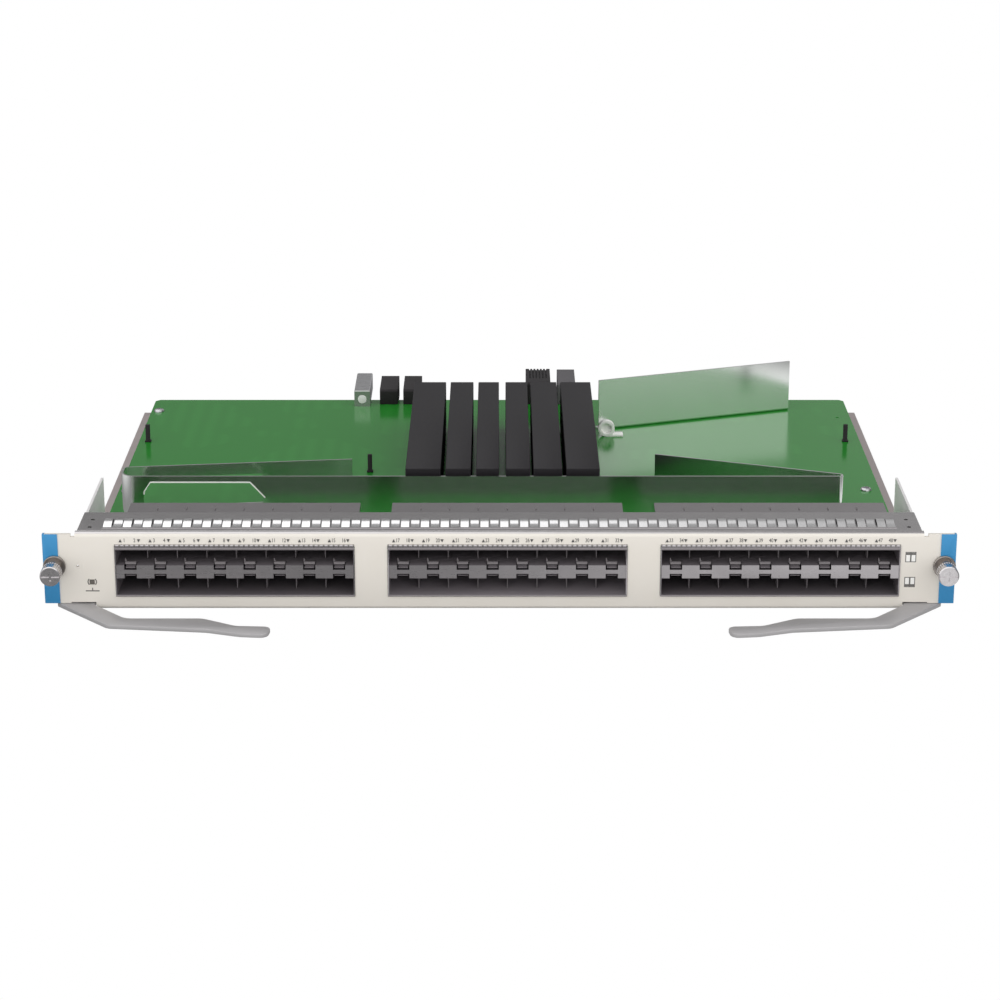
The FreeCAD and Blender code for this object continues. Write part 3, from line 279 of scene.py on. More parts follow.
# Die-cast zinc of the guide block: matt and a little grainy
rolled("cast_gray", "#CBCBCD", "#BABABD", 0.28, 1.2, 4, 6)
# The front of the guide block: smoother than the casting, and darker and faintly green, which is a
# painted reflection of the board
rolled("front_zinc_painted_reflection", "#A6AAA6", "#9A9E9A", 0.15, 0.5, 20, 0.1)
# Nickel-plated steel of the screws and pins
rolled("bright_steel", "#E6E6E8", "#D6D6D9", 0.12, 0.5, 4)
rolled("screw_steel", "#C4C4C6", "#B2B2B5", 0.3, 0.5, 4)
# The pressed-in ferrules are plain passivated steel, darker than the knobs
rolled("ferrule_steel", "#A39C97", "#8F8883", 0.3, 0.5, 4)
rolled("knob_finish", "#DEDBDC", "#B8B5B7", 0.2, 0.8, 1.4, 9)
print("finishes so far:", len(finishes))

# %% [markdown]
# ## Black anodised aluminium
# The heat sinks are extruded aluminium, anodised black. The dyed oxide is a thin glassy layer over
# etched metal, so it looks like a dark solid with a weak broad sheen rather than like a metal.

# %% Anodised heat sinks
tree, place = start_finish("black_anodised")
along = add_node(tree, "ShaderNodeMapping", {"Scale": (1.0, 0.05, 1.0)}, {"Vector": place})
die_lines = add_node(
    tree, "ShaderNodeTexNoise",
    {"Scale": per_metre(0.5), "Detail": 3.0},
    {"Vector": along.outputs[0]},
)
tone = add_node(
    tree, "ShaderNodeMix",
    {"data_type": "RGBA", 6: linear("#201E21"), 7: linear("#272528")},
    {0: die_lines.outputs[0]},
)
relief = add_node(
    tree, "ShaderNodeBump",
    {"Strength": 0.3, "Distance": 3e-6},
    {"Height": die_lines.outputs[0]},
)
add_node(
    tree, "Principled BSDF",
    {"Roughness": 0.48, "Specular IOR Level": 0.15},
    {"Base Color": tone.outputs[2], "Normal": relief.outputs[0]},
)
print("finish of the heat sinks:", finishes["black_anodised"].name)

# %% [markdown]
# ## Solder mask
# The board is glass laminate under a green solder mask: a clear glossy lacquer over copper tracks.
# Seen at a low angle, the lacquer mirrors the room, and the tracks under it show only as a
# slightly lighter green. Rows of tracks are thin bands, kept to patches by a slow noise.

# %% Green circuit board
tree, place = start_finish("circuit_board")
patches = add_node(
    tree, "ShaderNodeTexNoise",
    {"Scale": per_metre(40), "Detail": 1.0},
    {"Vector": place},
)
where = add_node(
    tree, "ShaderNodeMapRange",
    {"From Min": 0.52, "From Max": 0.56},
    {"Value": patches.outputs[0]},
)
tracks = add_node(
    tree, "ShaderNodeTexWave",
    {"wave_type": "BANDS", "bands_direction": "X", "Scale": per_metre(1.6) / 20, "Distortion": 0.0},
    {"Vector": place},
)
shown = add_node(
    tree, "ShaderNodeMath",
    {"operation": "MULTIPLY"},
    {0: where.outputs[0], 1: tracks.outputs["Fac"]},
)
tone = add_node(
    tree, "ShaderNodeMix",
    {"data_type": "RGBA", 6: linear("#27862C"), 7: linear("#2B8B30")},
    {0: shown.outputs[0]},
)
relief = add_node(
    tree, "ShaderNodeBump",
    {"Strength": 0.2, "Distance": 4e-6},
    {"Height": shown.outputs[0]},
)
add_node(
    tree, "Principled BSDF",
    {"Roughness": 0.16, "IOR": 1.5},
    {"Base Color": tone.outputs[2], "Normal": relief.outputs[0]},
)
print("finishes:", sorted(finishes))

# %% [markdown]
# ## Finishes on the CAD solids
# The record says which material slot each solid has. Each CAD object gets the finish of that
# name in its own material slots. The plates and the sockets in the cages share a slot with other
# pieces but get finishes of their own; the plates' finish is a darker copy of the cage metal, which
# is painted shade.

# %% Give each CAD node its finish
OWN_FINISH = {"cage_septa": "septum_sheet", "port_connectors": "socket_plastic"}
for row in frame["record"]["subparts"]:
    materials = nodes[row["node"]].data.materials
    materials.clear()
    family = row["node"].rsplit("_", 1)[0]
    materials.append(finishes[OWN_FINISH.get(family, row["material_slot"])])

# %% [markdown]
# ## From CAD solid to finished piece
# A CAD node arrives as loose triangles with flat normals. That is right for a box, but a bend
# then shows its facets, and every edge is sharper than any real edge. A copy of the mesh is merged
# and its flat triangles are joined into whole faces. Then a small bevel breaks the edges, and
# smooth shading stops at real corners. The copy takes the node's place in the picture.


def copy_of(node):
    """A merged copy of a CAD solid, with its flat triangles joined into whole faces."""
    shape = bmesh.new()
    shape.from_mesh(nodes[node].data)
    bmesh.ops.remove_doubles(shape, verts=shape.verts, dist=1e-6)
    bmesh.ops.dissolve_limit(
        shape, angle_limit=math.radians(1),
        verts=shape.verts, edges=shape.edges,
    )
    return shape


def break_edges(shape, width):
    """Rounds every sharp edge by a width in millimetres."""
    sharp = [e for e in shape.edges if e.is_manifold and e.calc_face_angle() > math.radians(40)]
    bmesh.ops.bevel(
        shape, geom=sharp, offset=width * MM, offset_type="OFFSET", segments=2,
        profile=0.5, affect="EDGES", clamp_overlap=True, material=-1,
    )


def set_down(name, shape, finish, body, instead_of=(), corner=35):
    """Makes the piece: smooth up to a corner angle, in its finish, riding on a body."""
    mesh = bpy.data.meshes.new(name)
    shape.to_mesh(mesh)
    shape.free()
    mesh.shade_smooth()
    mesh.set_sharp_from_angle(angle=math.radians(corner))
    for one in [finish] if isinstance(finish, str) else finish:
        mesh.materials.append(finishes[one])
    piece = bpy.data.objects.new(name, mesh)
    bpy.context.scene.collection.objects.link(piece)
    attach(piece, body)
    if instead_of:
        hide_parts(*instead_of)
    print(f"{name}: {len(mesh.polygons)} faces on {body}")
    return piece


def add_copies(shape, mesh, places):
    """Adds a small mesh to a shape once for each place."""
    for place in places:
        old = set(shape.verts)
        shape.from_mesh(mesh)
        new = [v for v in shape.verts if v not in old]
        bmesh.ops.translate(shape, verts=new, vec=place)


def kept(shape):
    """A mesh of a small shape that is going to be repeated."""
    mesh = bpy.data.meshes.new("repeated")
    shape.to_mesh(mesh)
    shape.free()
    return mesh


# %% Smooth and bevelled copies of the CAD solids
for node, finish, body, width in (
    ("air_baffle", "polished_sheet", "card", 0),
    ("tall_guide", "polished_sheet", "card", 0),
    ("guide_clip", "white_plastic", "card", 0.3),
    # The guide bush takes the same near-white zinc, which is painted light.
    ("guide_bush", "dull_zinc", "card", 0.15),
    ("lever_pins", "bright_steel", "card", 0.15),
    ("left_end_cap", "blue_plastic", "card", 0.2),
    ("right_end_cap", "blue_plastic", "card", 0.2),
    ("board_posts", "black_plastic", "card", 0.2),
    ("left_ejector_lever", "lever_paint", "left_lever", 0.4),
    ("right_ejector_lever", "lever_paint", "right_lever", 0.4),
):
    shape = copy_of(node)
    if width:
        break_edges(shape, width)
    set_down(node + "_shown", shape, finish, body, [node])
for number in range(1, 7):
    shape = copy_of(f"heatsink_{number}")
    break_edges(shape, 0.35)
    set_down(f"heatsink_{number}_shown", shape, "black_anodised", "card", [f"heatsink_{number}"])

# %% [markdown]
# ## Faceplate with a bare top edge
# The faceplate is folded back along its top and its foot. Powder coat stops at the top fold,
# because the bare metal there has to touch the frame: the folded strip shows plain zinc. The foot
# is folded more sharply than the solid's, so its rounded corner is drawn in towards the edge.

# %% Faceplate in paint and bare zinc
FOOT_BEND = 3.35 * MM
FOOT_DRAWN = 1.65 * MM
FOOT_END = 193.4 * MM
BARE_END = 202 * MM
NEAR = 0.01 * MM
shape = copy_of("faceplate")
low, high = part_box("faceplate")
for side in (-1, 1):
    bmesh.ops.bisect_plane(
        shape, geom=shape.verts[:] + shape.edges[:] + shape.faces[:],
        plane_co=(side * FOOT_END, 0, 0), plane_no=(1, 0, 0),
    )
for vert in shape.verts:
    back, up = vert.co.y - FACE, vert.co.z - low.z
    if max(back, up) < FOOT_BEND + NEAR and abs(vert.co.x) < FOOT_END + NEAR:
        arm = Vector((back - FOOT_BEND, up - FOOT_BEND))
        arm *= (arm.length - FOOT_DRAWN) / arm.length
        vert.co.y = FACE + FOOT_BEND - FOOT_DRAWN + arm.x
        vert.co.z = low.z + FOOT_BEND - FOOT_DRAWN + arm.y
for face in shape.faces:
    middle = face.calc_center_median()
    on_top = face.normal.z > 0.6 and middle.z > high.z - 0.6 * MM
    face.material_index = int(on_top and abs(middle.x) < BARE_END)
set_down(
    "faceplate_shown", shape, ["cream_paint", "plated_sheet"],
    "card", ["faceplate"], corner=5,
)

# %% [markdown]
# ## Front frame with painted light on its arms
# The frame is one folded sheet: its flange keeps the plated finish, and its arms take a near-white
# copy of the same zinc, which is painted light.
# Two materials on one mesh keep it one piece: faces behind the flange take the second one.

# %% Frame with painted light on its arms
shape = copy_of("front_frame")
PAINTED_LIGHT_FROM = FACE + 33 * MM
bmesh.ops.bisect_plane(
    shape, geom=shape.verts[:] + shape.edges[:] + shape.faces[:],
    plane_co=(0, PAINTED_LIGHT_FROM, 0), plane_no=(0, 1, 0),
)
for face in shape.faces:
    # Faces behind the flange take the near-white zinc: painted light.
    face.material_index = int(face.calc_center_median().y > PAINTED_LIGHT_FROM)
set_down("front_frame_shown", shape, ["plated_sheet", "dull_zinc"], "card", ["front_frame"])

# %% [markdown]
# ## Port cages, with painted shade inside
# The cages and their dividers keep their bright finish outside. Each copy takes a darker, duller
# copy of it, which is painted shade, on the faces that look into the ports.

# %% Two finishes for the cages and dividers
OUTER = 0.2 * MM
FRONT_WEB = 20 * MM * MM
for number in BLOCKS:
    shell, divider = f"cage_shell_{number}", f"cage_divider_{number}"
    low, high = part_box(shell)
    shape = copy_of(shell)
    for face in shape.faces:
        middle = face.calc_center_median()
        inside = all(low[i] + OUTER < middle[i] < high[i] - OUTER for i in range(3))
        # Faces inside the cage take the darker copy: painted shade.
        face.material_index = int(inside)
    set_down(shell + "_shown", shape, ["cage_sheet", "inner_painted_shade"], "card", [shell])
    shape = copy_of(divider)
    for face in shape.faces:
        forward = face.normal.y < -0.5 and face.calc_center_median().y < FACE
        # All but the large front faces take the darker copy: painted shade.
        face.material_index = int(not (forward and face.calc_area() > FRONT_WEB))
    set_down(divider + "_shown", shape, ["divider_sheet", "inner_painted_shade"], "card", [divider])

# %% [markdown]
# ## Latch noses
# Over each upper notch of the divider a spring nose waits for the latch of a module: a strip that
# comes forward, crests and hooks down, with a small gusset on its left.

# %% Noses and gussets in the upper ports
def pull_strip(shape, points, reach):
    """Adds a strip: a chain of edges through the points, drawn out along a vector."""
    row = [shape.verts.new(point) for point in points]
    chain = [shape.edges.new(pair) for pair in zip(row, row[1:])]
    grown = bmesh.ops.extrude_edge_only(shape, edges=chain)["geom"]
    far = [v for v in grown if isinstance(v, bmesh.types.BMVert)]
    bmesh.ops.translate(shape, verts=far, vec=reach)


NOSE_WIDTH = 5.2 * MM
NOSE_SIDE = ((5.4, 0.0), (3.4, 0.8), (2.2, 1.1), (1.7, 0.8), (1.5, -0.2))
GUSSET = ((-2.8, 0.0), (-1.9, 0.9), (-2.5, 2.6), (-2.8, 2.7))
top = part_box("cage_divider_1")[1].z
nose = bmesh.new()
points = [(-NOSE_WIDTH / 2, FACE + y * MM, top + z * MM) for y, z in NOSE_SIDE]
pull_strip(nose, points, (NOSE_WIDTH, 0, 0))
gusset = [nose.verts.new((x * MM, FACE + 2.6 * MM, top + z * MM)) for x, z in GUSSET]
bmesh.ops.contextual_create(nose, geom=gusset)
bmesh.ops.recalc_face_normals(nose, faces=nose.faces)
bmesh.ops.solidify(nose, geom=nose.faces[:], thickness=0.2 * MM)
nose_mesh = kept(nose)
noses = bmesh.new()
for number in BLOCKS:
    low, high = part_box(f"cage_shell_{number}")
    middle = (low.x + high.x) / 2
    first = middle - (COLUMNS - 1) / 2 * PORT_PITCH
    add_copies(noses, nose_mesh, [(first + i * PORT_PITCH, 0, 0) for i in range(COLUMNS)])
# The noses take the darker plate finish too: painted shade.
set_down("latch_noses", noses, "septum_sheet", "card")
print("latch noses:", len(BLOCKS) * COLUMNS)

# %% [markdown]
# ## Spring fingers
# The strip on top of the frame is stamped from thin spring sheet. It touches the next card in the
# chassis with a row of raised fingers, every other one lower. One finger is a strip of faces
# bent in side view and given its thickness, and the row is made from copies of the two kinds.

# %% Bend the two kinds of finger and lay them in a row
low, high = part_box("finger_strip")
centre = (low + high) / 2
FINGER_PITCH = 4.7625 * MM
FINGER_WIDTH = 3.9 * MM
BAND = 0.25 * MM
SIDE_VIEWS = (
    (
        (0.0, 0.0), (1.6, 0.5), (3.4, 0.92), (5.2, 1.2),
        (7.0, 1.3), (8.8, 1.22), (10.6, 0.7), (11.9, 0.0),
    ),
    (
        (0.0, 0.0), (4.4, 0.02), (5.8, 0.22), (7.2, 0.58),
        (8.4, 0.72), (9.2, 0.66), (10.2, 0.4), (11.9, 0.0),
    ),
)
count = round((high.x - low.x) / FINGER_PITCH)
start = centre.x - count * FINGER_PITCH / 2
shape = bmesh.new()
bmesh.ops.create_cube(shape, size=1.0)
bmesh.ops.scale(shape, verts=shape.verts, vec=(high.x - low.x, high.y - low.y, BAND))
bmesh.ops.translate(shape, verts=shape.verts, vec=(centre.x, centre.y, low.z + BAND / 2))
for face in shape.faces:
    face.material_index = 1
for kind, side_view in enumerate(SIDE_VIEWS):
    finger = bmesh.new()
    points = [(-FINGER_WIDTH / 2, y * MM, z * MM) for y, z in side_view]
    pull_strip(finger, points, (FINGER_WIDTH, 0, 0))
    bmesh.ops.recalc_face_normals(finger, faces=finger.faces)
    if finger.faces[0].normal.z < 0:
        bmesh.ops.reverse_faces(finger, faces=finger.faces)
    bmesh.ops.solidify(finger, geom=finger.faces[:], thickness=0.2 * MM)
    root = (start, low.y + 1.0 * MM, low.z + BAND)
    steps = [((i + 0.5) * FINGER_PITCH, 0, 0) for i in range(kind, count, 2)]
    add_copies(shape, kept(finger), [Vector(root) + Vector(step) for step in steps])
set_down("finger_strip_bent", shape, ["spring_sheet", "plated_sheet"], "card", ["finger_strip"])
print("fingers:", count)

# %% [markdown]
# ## Contact trims of the port cages
# Along the top of each cage a thin strip of springs closes the gap to the faceplate: a plain band
# with small rounded bumps above it, in a pitch of 2.375 mm, on a gray backing that darkens the gaps
# between the bumps, which is painted shade.
# A plain strip closes the bottom.

# %% Bumps and bands at the front of each cage
BUMP_PITCH = 2.375 * MM
BUMPS = 48
bump = bmesh.new()
ends = [bump.verts.new((x * MM, 0, -0.65 * MM)) for x in (-0.75, 0.75)]
bar = bump.edges.new(ends)
bmesh.ops.spin(bump, geom=ends + [bar], cent=(0, 0, 0), axis=(1, 0, 0), angle=-math.pi, steps=6)
bmesh.ops.recalc_face_normals(bump, faces=bump.faces)
bmesh.ops.solidify(bump, geom=bump.faces[:], thickness=0.1 * MM)
for face in bump.faces:
    face.material_index = 2
bump_mesh = kept(bump)
for number in BLOCKS:
    low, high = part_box(f"cage_shell_{number}")
    middle, width = (low.x + high.x) / 2, high.x - low.x
    trim = bmesh.new()
    for z0, z1 in ((high.z - 2.0 * MM, high.z - 0.6 * MM), (low.z, low.z + 0.8 * MM)):
        points = [(low.x, FACE - 0.45 * MM, z0), (low.x, FACE - 0.72 * MM, z0 + 0.2 * MM)]
        points += [(low.x, FACE - 0.72 * MM, z1 - 0.2 * MM), (low.x, FACE - 0.6 * MM, z1)]
        pull_strip(trim, points, (width, 0, 0))
    bmesh.ops.recalc_face_normals(trim, faces=trim.faces)
    bmesh.ops.solidify(trim, geom=trim.faces[:], thickness=0.12 * MM)
    first, over = middle - (BUMPS - 1) / 2 * BUMP_PITCH, high.z + 0.2 * MM
    spots = [(first + i * BUMP_PITCH, FACE - 0.3 * MM, over) for i in range(BUMPS)]
    add_copies(trim, bump_mesh, spots)
    # A gray backing behind the bumps: painted shade in the gaps between them.
    gap_shade_backing = bmesh.ops.create_cube(trim, size=1.0)["verts"]
    bmesh.ops.scale(trim, verts=gap_shade_backing, vec=(width, 0.3 * MM, 1.3 * MM))
    bmesh.ops.translate(trim, verts=gap_shade_backing, vec=(middle, FACE - 0.15 * MM, over))
    for face in {f for v in gap_shade_backing for f in v.link_faces}:
        face.material_index = 1
    set_down(f"cage_trim_{number}", trim, ["trim_sheet", "gap_shade_backing", "divider_sheet"], "card")
print("bumps on each cage:", BUMPS)

# %% [markdown]
# ## Port numbers
# The ports are numbered in ink over each column, odd for the top row and even for the bottom one,
# beside the arrow windows. Text is made a mesh first, turned upright and squeezed, because the
# printed digits are narrow, and then every number goes into one thin printed piece.

# %% Print the numbers 1 to 48
INK_AT = FACE - 0.02 * MM
UPRIGHT = Matrix.Rotation(math.pi / 2, 4, "X")
NARROW = Matrix.Diagonal((0.74, 1, 1, 1))
numbers = bmesh.new()
for number in BLOCKS:
    low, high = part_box(f"cage_shell_{number}")
    first = (low.x + high.x) / 2 - (COLUMNS - 1) / 2 * PORT_PITCH
    for column in range(COLUMNS):
        for half, shift in ((1, -2.5), (2, 2.4)):
            words = bpy.data.curves.new("number", "FONT")
            words.body = str(2 * COLUMNS * (number - 1) + 2 * column + half)
            words.size = 2.7 * MM
            words.offset = 0.05 * MM
            words.align_x = "CENTER"
            words.align_y = "CENTER"
            writer = bpy.data.objects.new("writer", words)
            flat = bpy.data.meshes.new_from_object(writer)
            flat.transform(UPRIGHT @ NARROW)
            spot = (first + column * PORT_PITCH + shift * MM, INK_AT, high.z + 2.75 * MM)
            add_copies(numbers, flat, [spot])
            bpy.data.objects.remove(writer)
set_down("port_numbers", numbers, "screen_ink", "card")
print("port numbers:", 2 * COLUMNS * len(BLOCKS))

# %% [markdown]
# ## Marks round the lights
# Two short arcs frame the status light, with a plain bar under it, and two square marks by the
# last ports show which way up the two rows are. They are ink too: thin rings and bars on the paint.

# %% Arcs and bar at the status light
low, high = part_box("status_light")
light = ((low.x + high.x) / 2, INK_AT, (low.z + high.z) / 2)
marks = bmesh.new()
for start in (-math.pi / 4, 3 * math.pi / 4):
    outward = Vector((math.cos(start), 0, math.sin(start)))
    ends = [marks.verts.new(outward * radius * MM) for radius in (1.75, 2.3)]
    edge = marks.edges.new(ends)
    bmesh.ops.spin(
        marks, geom=ends + [edge], cent=(0, 0, 0), axis=(0, -1, 0),
        angle=math.pi / 2, steps=8,
    )
for width, height, down in ((6.6, 0.55, 4.6), (0.5, 1.4, 3.7)):
    bar = bmesh.ops.create_grid(marks, x_segments=1, y_segments=1, size=0.5)["verts"]
    bmesh.ops.scale(marks, verts=bar, vec=(width * MM, height * MM, 1))
    bmesh.ops.rotate(marks, verts=bar, cent=(0, 0, 0), matrix=UPRIGHT.to_3x3())
    bmesh.ops.translate(marks, verts=bar, vec=(0, 0, -down * MM))
bmesh.ops.translate(marks, verts=marks.verts, vec=light)
set_down("status_marks", marks, "screen_ink", "card")

# %% Square marks by the last ports
squares = bmesh.new()
for level, stem in ((26.5, 1), (13.8, -1)):
    sign = bmesh.new()
    layers = ((5.2, 5.2, 0), (4.4, 4.4, 0), (4.4, 1.1, 1.6 * stem), (0.7, 4.4, 0))
    for layer, (width, height, up) in enumerate(layers):
        bar = bmesh.ops.create_grid(sign, x_segments=1, y_segments=1, size=0.5)["verts"]
        bmesh.ops.scale(sign, verts=bar, vec=(width * MM, height * MM, 1))
        bmesh.ops.translate(sign, verts=bar, vec=(0, up * MM, layer * 0.01 * MM))
        bar[0].link_faces[0].material_index = int(layer == 1)
    bmesh.ops.rotate(sign, verts=sign.verts, cent=(0, 0, 0), matrix=UPRIGHT.to_3x3())
    add_copies(squares, kept(sign), [(196.5 * MM, INK_AT, level * MM)])
set_down("row_marks", squares, ["screen_ink", "white_ink"], "card")

# %% [markdown]
# ## Captive screws
# Each end of the faceplate has a captive screw: a turned ferrule pressed into the plate, a spring,
# and a knurled knob on a screw that can't fall out. Turned pieces are a half section spun round
# their axis. The knurl is cut into the spun wall: every other face is drawn inwards. A recess is
# scored into the flat faces of a head and then pressed in.

# %% Spin, score and press
def turned(section, steps, closed=False):
    """Spins (radius, depth) corners in millimetres round an axis that runs along Y."""
    shape = bmesh.new()
    row = [shape.verts.new((radius * MM, FACE + y * MM, 0)) for radius, y in section]
    pairs = list(zip(row, row[1:])) + ([(row[-1], row[0])] if closed else [])
    chain = [shape.edges.new(pair) for pair in pairs]
    bmesh.ops.spin(
        shape, geom=row + chain, cent=(0, 0, 0), axis=(0, 1, 0),
        angle=2 * math.pi, steps=steps, use_merge=True,
    )
    bmesh.ops.remove_doubles(shape, verts=shape.verts, dist=1e-6)
    bmesh.ops.recalc_face_normals(shape, faces=shape.faces)
    return shape


def score(shape, faces, at, normal):
    """Cuts only these faces, where the plane through a point crosses them."""
    edges = list({e for f in faces for e in f.edges})
    verts = list({v for f in faces for v in f.verts})
    bmesh.ops.bisect_plane(shape, geom=verts + edges + faces, plane_co=at, plane_no=normal)


def press(shape, faces, reach):
    """Moves faces along a vector and leaves walls round them."""
    grown = bmesh.ops.extrude_face_region(shape, geom=faces)["geom"]
    bmesh.ops.delete(shape, geom=faces, context="FACES")
    floor = [v for v in grown if isinstance(v, bmesh.types.BMVert)]
    bmesh.ops.translate(shape, verts=floor, vec=reach)


def screw_axis(side):
    """Where the axis of a captive screw crosses X and Z."""
    low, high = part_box(f"{side}_screw_washer")
    return (low.x + high.x) / 2, 0, (low.z + high.z) / 2


print("axis of the left screw:", [round(c, 4) for c in screw_axis("left")])

# %% Knurled knobs
KNOB_SECTION = (
    (4.45, -15.6), (4.9, -15.15), (4.9, -8.9), (4.6, -8.2), (4.1, -8.2), (4.1, -14.4), (0, -14.4),
)
KNOB_FRONT = FACE + KNOB_SECTION[0][1] * MM
KNOB_MIDDLE = FACE - 12.0 * MM
SLOT, CROSS, CROSS_REACH = 0.55 * MM, 0.5 * MM, 2.3 * MM
for side in ("left", "right"):
    knob = turned(KNOB_SECTION, 56)
    wall = [f for f in knob.faces if abs(f.calc_center_median().y - KNOB_MIDDLE) < 0.2 * MM]
    wall = [f for f in wall if f.calc_center_median().xz.length > 4.5 * MM]
    wall.sort(key=lambda f: math.atan2(f.calc_center_median().z, f.calc_center_median().x))
    bmesh.ops.inset_individual(knob, faces=wall[::2], thickness=0.1 * MM, depth=-0.25 * MM)
    bmesh.ops.contextual_create(knob, geom=[e for e in knob.edges if e.is_boundary])
    for plane, offset in ((2, SLOT), (0, CROSS), (2, CROSS_REACH)):
        normal = Vector((plane == 0, 0, plane == 2))
        for at in (normal * offset, -normal * offset):
            flats = [f for f in knob.faces if abs(f.calc_center_median().y - KNOB_FRONT) < 1e-6]
            score(knob, flats, at, normal)
    recess = []
    for face in knob.faces:
        middle = face.calc_center_median()
        in_cross = abs(middle.x) < CROSS and abs(middle.z) < CROSS_REACH
        if abs(middle.y - KNOB_FRONT) < 1e-6 and (abs(middle.z) < SLOT or in_cross):
            recess.append(face)
    press(knob, recess, (0, 0.9 * MM, 0))
    bmesh.ops.recalc_face_normals(knob, faces=knob.faces)
    bmesh.ops.translate(knob, verts=knob.verts, vec=screw_axis(side))
    name = f"{side}_screw_knob"
    set_down(name + "_turned", knob, "knob_finish", f"{side}_screw", [name])

# %% Ferrules
FERRULE_SECTION = (
    (1.75, -8.4), (3.6, -8.4), (3.9, -8.1), (3.9, -2.1), (5.1, -2.1), (5.4, -1.8),
    (5.4, -0.6), (3.0, -0.6), (3.0, 2.2), (1.75, 2.2),
)
ferrules = bmesh.new()
ferrule = kept(turned(FERRULE_SECTION, 40, closed=True))
add_copies(ferrules, ferrule, [screw_axis("left"), screw_axis("right")])
set_down("screw_ferrules_turned", ferrules, "ferrule_steel", "card", ["screw_ferrules"])

# %% [markdown]
# ## Screws, threads and springs
# A spin that also steps along its axis draws a helix. A small triangle spun that way is the
# screw's thread, and a small circle is the spring's wire. The spring stands between the ferrule
# and the knob, wound to the length of the CAD spring.

# %% Threaded screws
SCREW_SECTION = (
    (0, -14.4), (1.7, -14.4), (1.7, 2.25), (1.6, 2.35), (1.6, 7.6), (1.2, 8.0), (0, 8.0),
)
RIDGE = ((1.55, 2.35), (2.0, 2.6), (1.55, 2.85))
THREAD_PITCH, THREAD_TURNS, TURN_STEPS = 0.7 * MM, 7, 24
for side in ("left", "right"):
    screw = turned(SCREW_SECTION, 32)
    corners = [screw.verts.new((r * MM, FACE + y * MM, 0)) for r, y in RIDGE]
    ridge = [screw.edges.new((corners[i], corners[i - 1])) for i in range(3)]
    bmesh.ops.spin(
        screw, geom=corners + ridge, cent=(0, 0, 0), axis=(0, 1, 0),
        angle=THREAD_TURNS * 2 * math.pi, dvec=(0, THREAD_PITCH / TURN_STEPS, 0),
        steps=THREAD_TURNS * TURN_STEPS,
    )
    bmesh.ops.recalc_face_normals(screw, faces=screw.faces)
    bmesh.ops.translate(screw, verts=screw.verts, vec=screw_axis(side))
    name = f"{side}_screw"
    set_down(name + "_threaded", screw, "screw_steel", name, [name + "_shaft"])

# %% Wound springs between ferrule and knob
WIRE = 0.25 * MM
COIL = 3.35 * MM
COIL_TURNS = 3
for side in ("left", "right"):
    low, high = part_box(f"{side}_screw_spring")
    free = high.y - low.y
    spring = bmesh.new()
    wire = bmesh.ops.create_circle(spring, segments=8, radius=WIRE)["verts"]
    bmesh.ops.translate(spring, verts=wire, vec=(COIL, low.y + WIRE, 0))
    steps = COIL_TURNS * TURN_STEPS
    bmesh.ops.spin(
        spring, geom=spring.verts[:] + spring.edges[:], cent=(0, 0, 0), axis=(0, 1, 0),
        angle=COIL_TURNS * 2 * math.pi, dvec=(0, (free - 2 * WIRE) / steps, 0), steps=steps,
    )
    bmesh.ops.holes_fill(spring, edges=[e for e in spring.edges if e.is_boundary])
    bmesh.ops.recalc_face_normals(spring, faces=spring.faces)
    bmesh.ops.translate(spring, verts=spring.verts, vec=screw_axis(side))
    name = f"{side}_screw_spring"
    piece = set_down(name + "_wound", spring, "screw_steel", "card", [name])
    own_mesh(piece)

# %% [markdown]
# ## Guide block with a painted reflection on its front
# The block that guides the card into the backplane is a zinc casting. The faces that look forward
# get a finish of their own: smoother, so that they mirror the board, and darker and faintly green,
# which is a painted reflection of the board.

# %% Front of the guide block, with a painted reflection
shape = copy_of("guide_block")
for face in shape.faces:
    # Faces that look forward take the darker, green-tinted finish: painted reflection.
    face.material_index = int(face.normal.y < -0.7)
set_down("guide_block_shown", shape, ["cast_gray", "front_zinc_painted_reflection"], "card", ["guide_block"])

# %% [markdown]
# ## Contact holes in the rear connectors
# The backplane's pins go into square holes in the backs of the connectors. A moulded part starts
# as a plain block: its edges are broken, its back is divided into a grid, and every cell is inset
# and drawn inwards, which makes the walls between the holes in one step.

# %% Grids of holes
MARGIN = 0.8 * MM
for node, finish, columns, rows in (
    ("power_connector_1", "black_plastic", 2, 2),
    ("power_connector_2", "black_plastic", 2, 2),
    ("signal_connector", "black_plastic", 6, 7),
    ("fabric_connector", "gray_plastic", 4, 7),
):
    shape = copy_of(node)
    break_edges(shape, 0.25)
    backs = [f for f in shape.faces if f.normal.y > 0.99]
    back = max(backs, key=lambda f: f.calc_area() + f.calc_center_median().y)
    depth = back.calc_center_median().y
    xs = [v.co.x for v in back.verts]
    zs = [v.co.z for v in back.verts]
    for plane, values, count in ((0, xs, columns), (2, zs, rows)):
        first, last = min(values) + MARGIN, max(values) - MARGIN
        for i in range(count + 1):
            backs = [f for f in shape.faces if f.normal.y > 0.99]
            backs = [f for f in backs if abs(f.calc_center_median().y - depth) < 1e-6]
            at = Vector((0, depth, 0))
            at[plane] = first + (last - first) * i / count
            score(shape, backs, at, (plane == 0, 0, plane == 2))
    cells = []
    for face in shape.faces:
        middle = face.calc_center_median()
        in_x = min(xs) + MARGIN < middle.x < max(xs) - MARGIN
        in_z = min(zs) + MARGIN < middle.z < max(zs) - MARGIN
        if face.normal.y > 0.99 and abs(middle.y - depth) < 1e-6 and in_x and in_z:
            cells.append(face)
    wall = min((max(xs) - min(xs)) / columns, (max(zs) - min(zs)) / rows) * 0.16
    bmesh.ops.inset_individual(shape, faces=cells, thickness=wall, depth=0)
    bmesh.ops.inset_individual(shape, faces=cells, thickness=0.02 * MM, depth=-4.0 * MM)
    set_down(node + "_shown", shape, finish, "card", [node])
    print(node, "holes:", len(cells))

# %% [markdown]
# ## Board screws
# Three pan-head screws hold the board. The head is a spun dome with a cross recess: two bars of
# its flat top are pressed down.

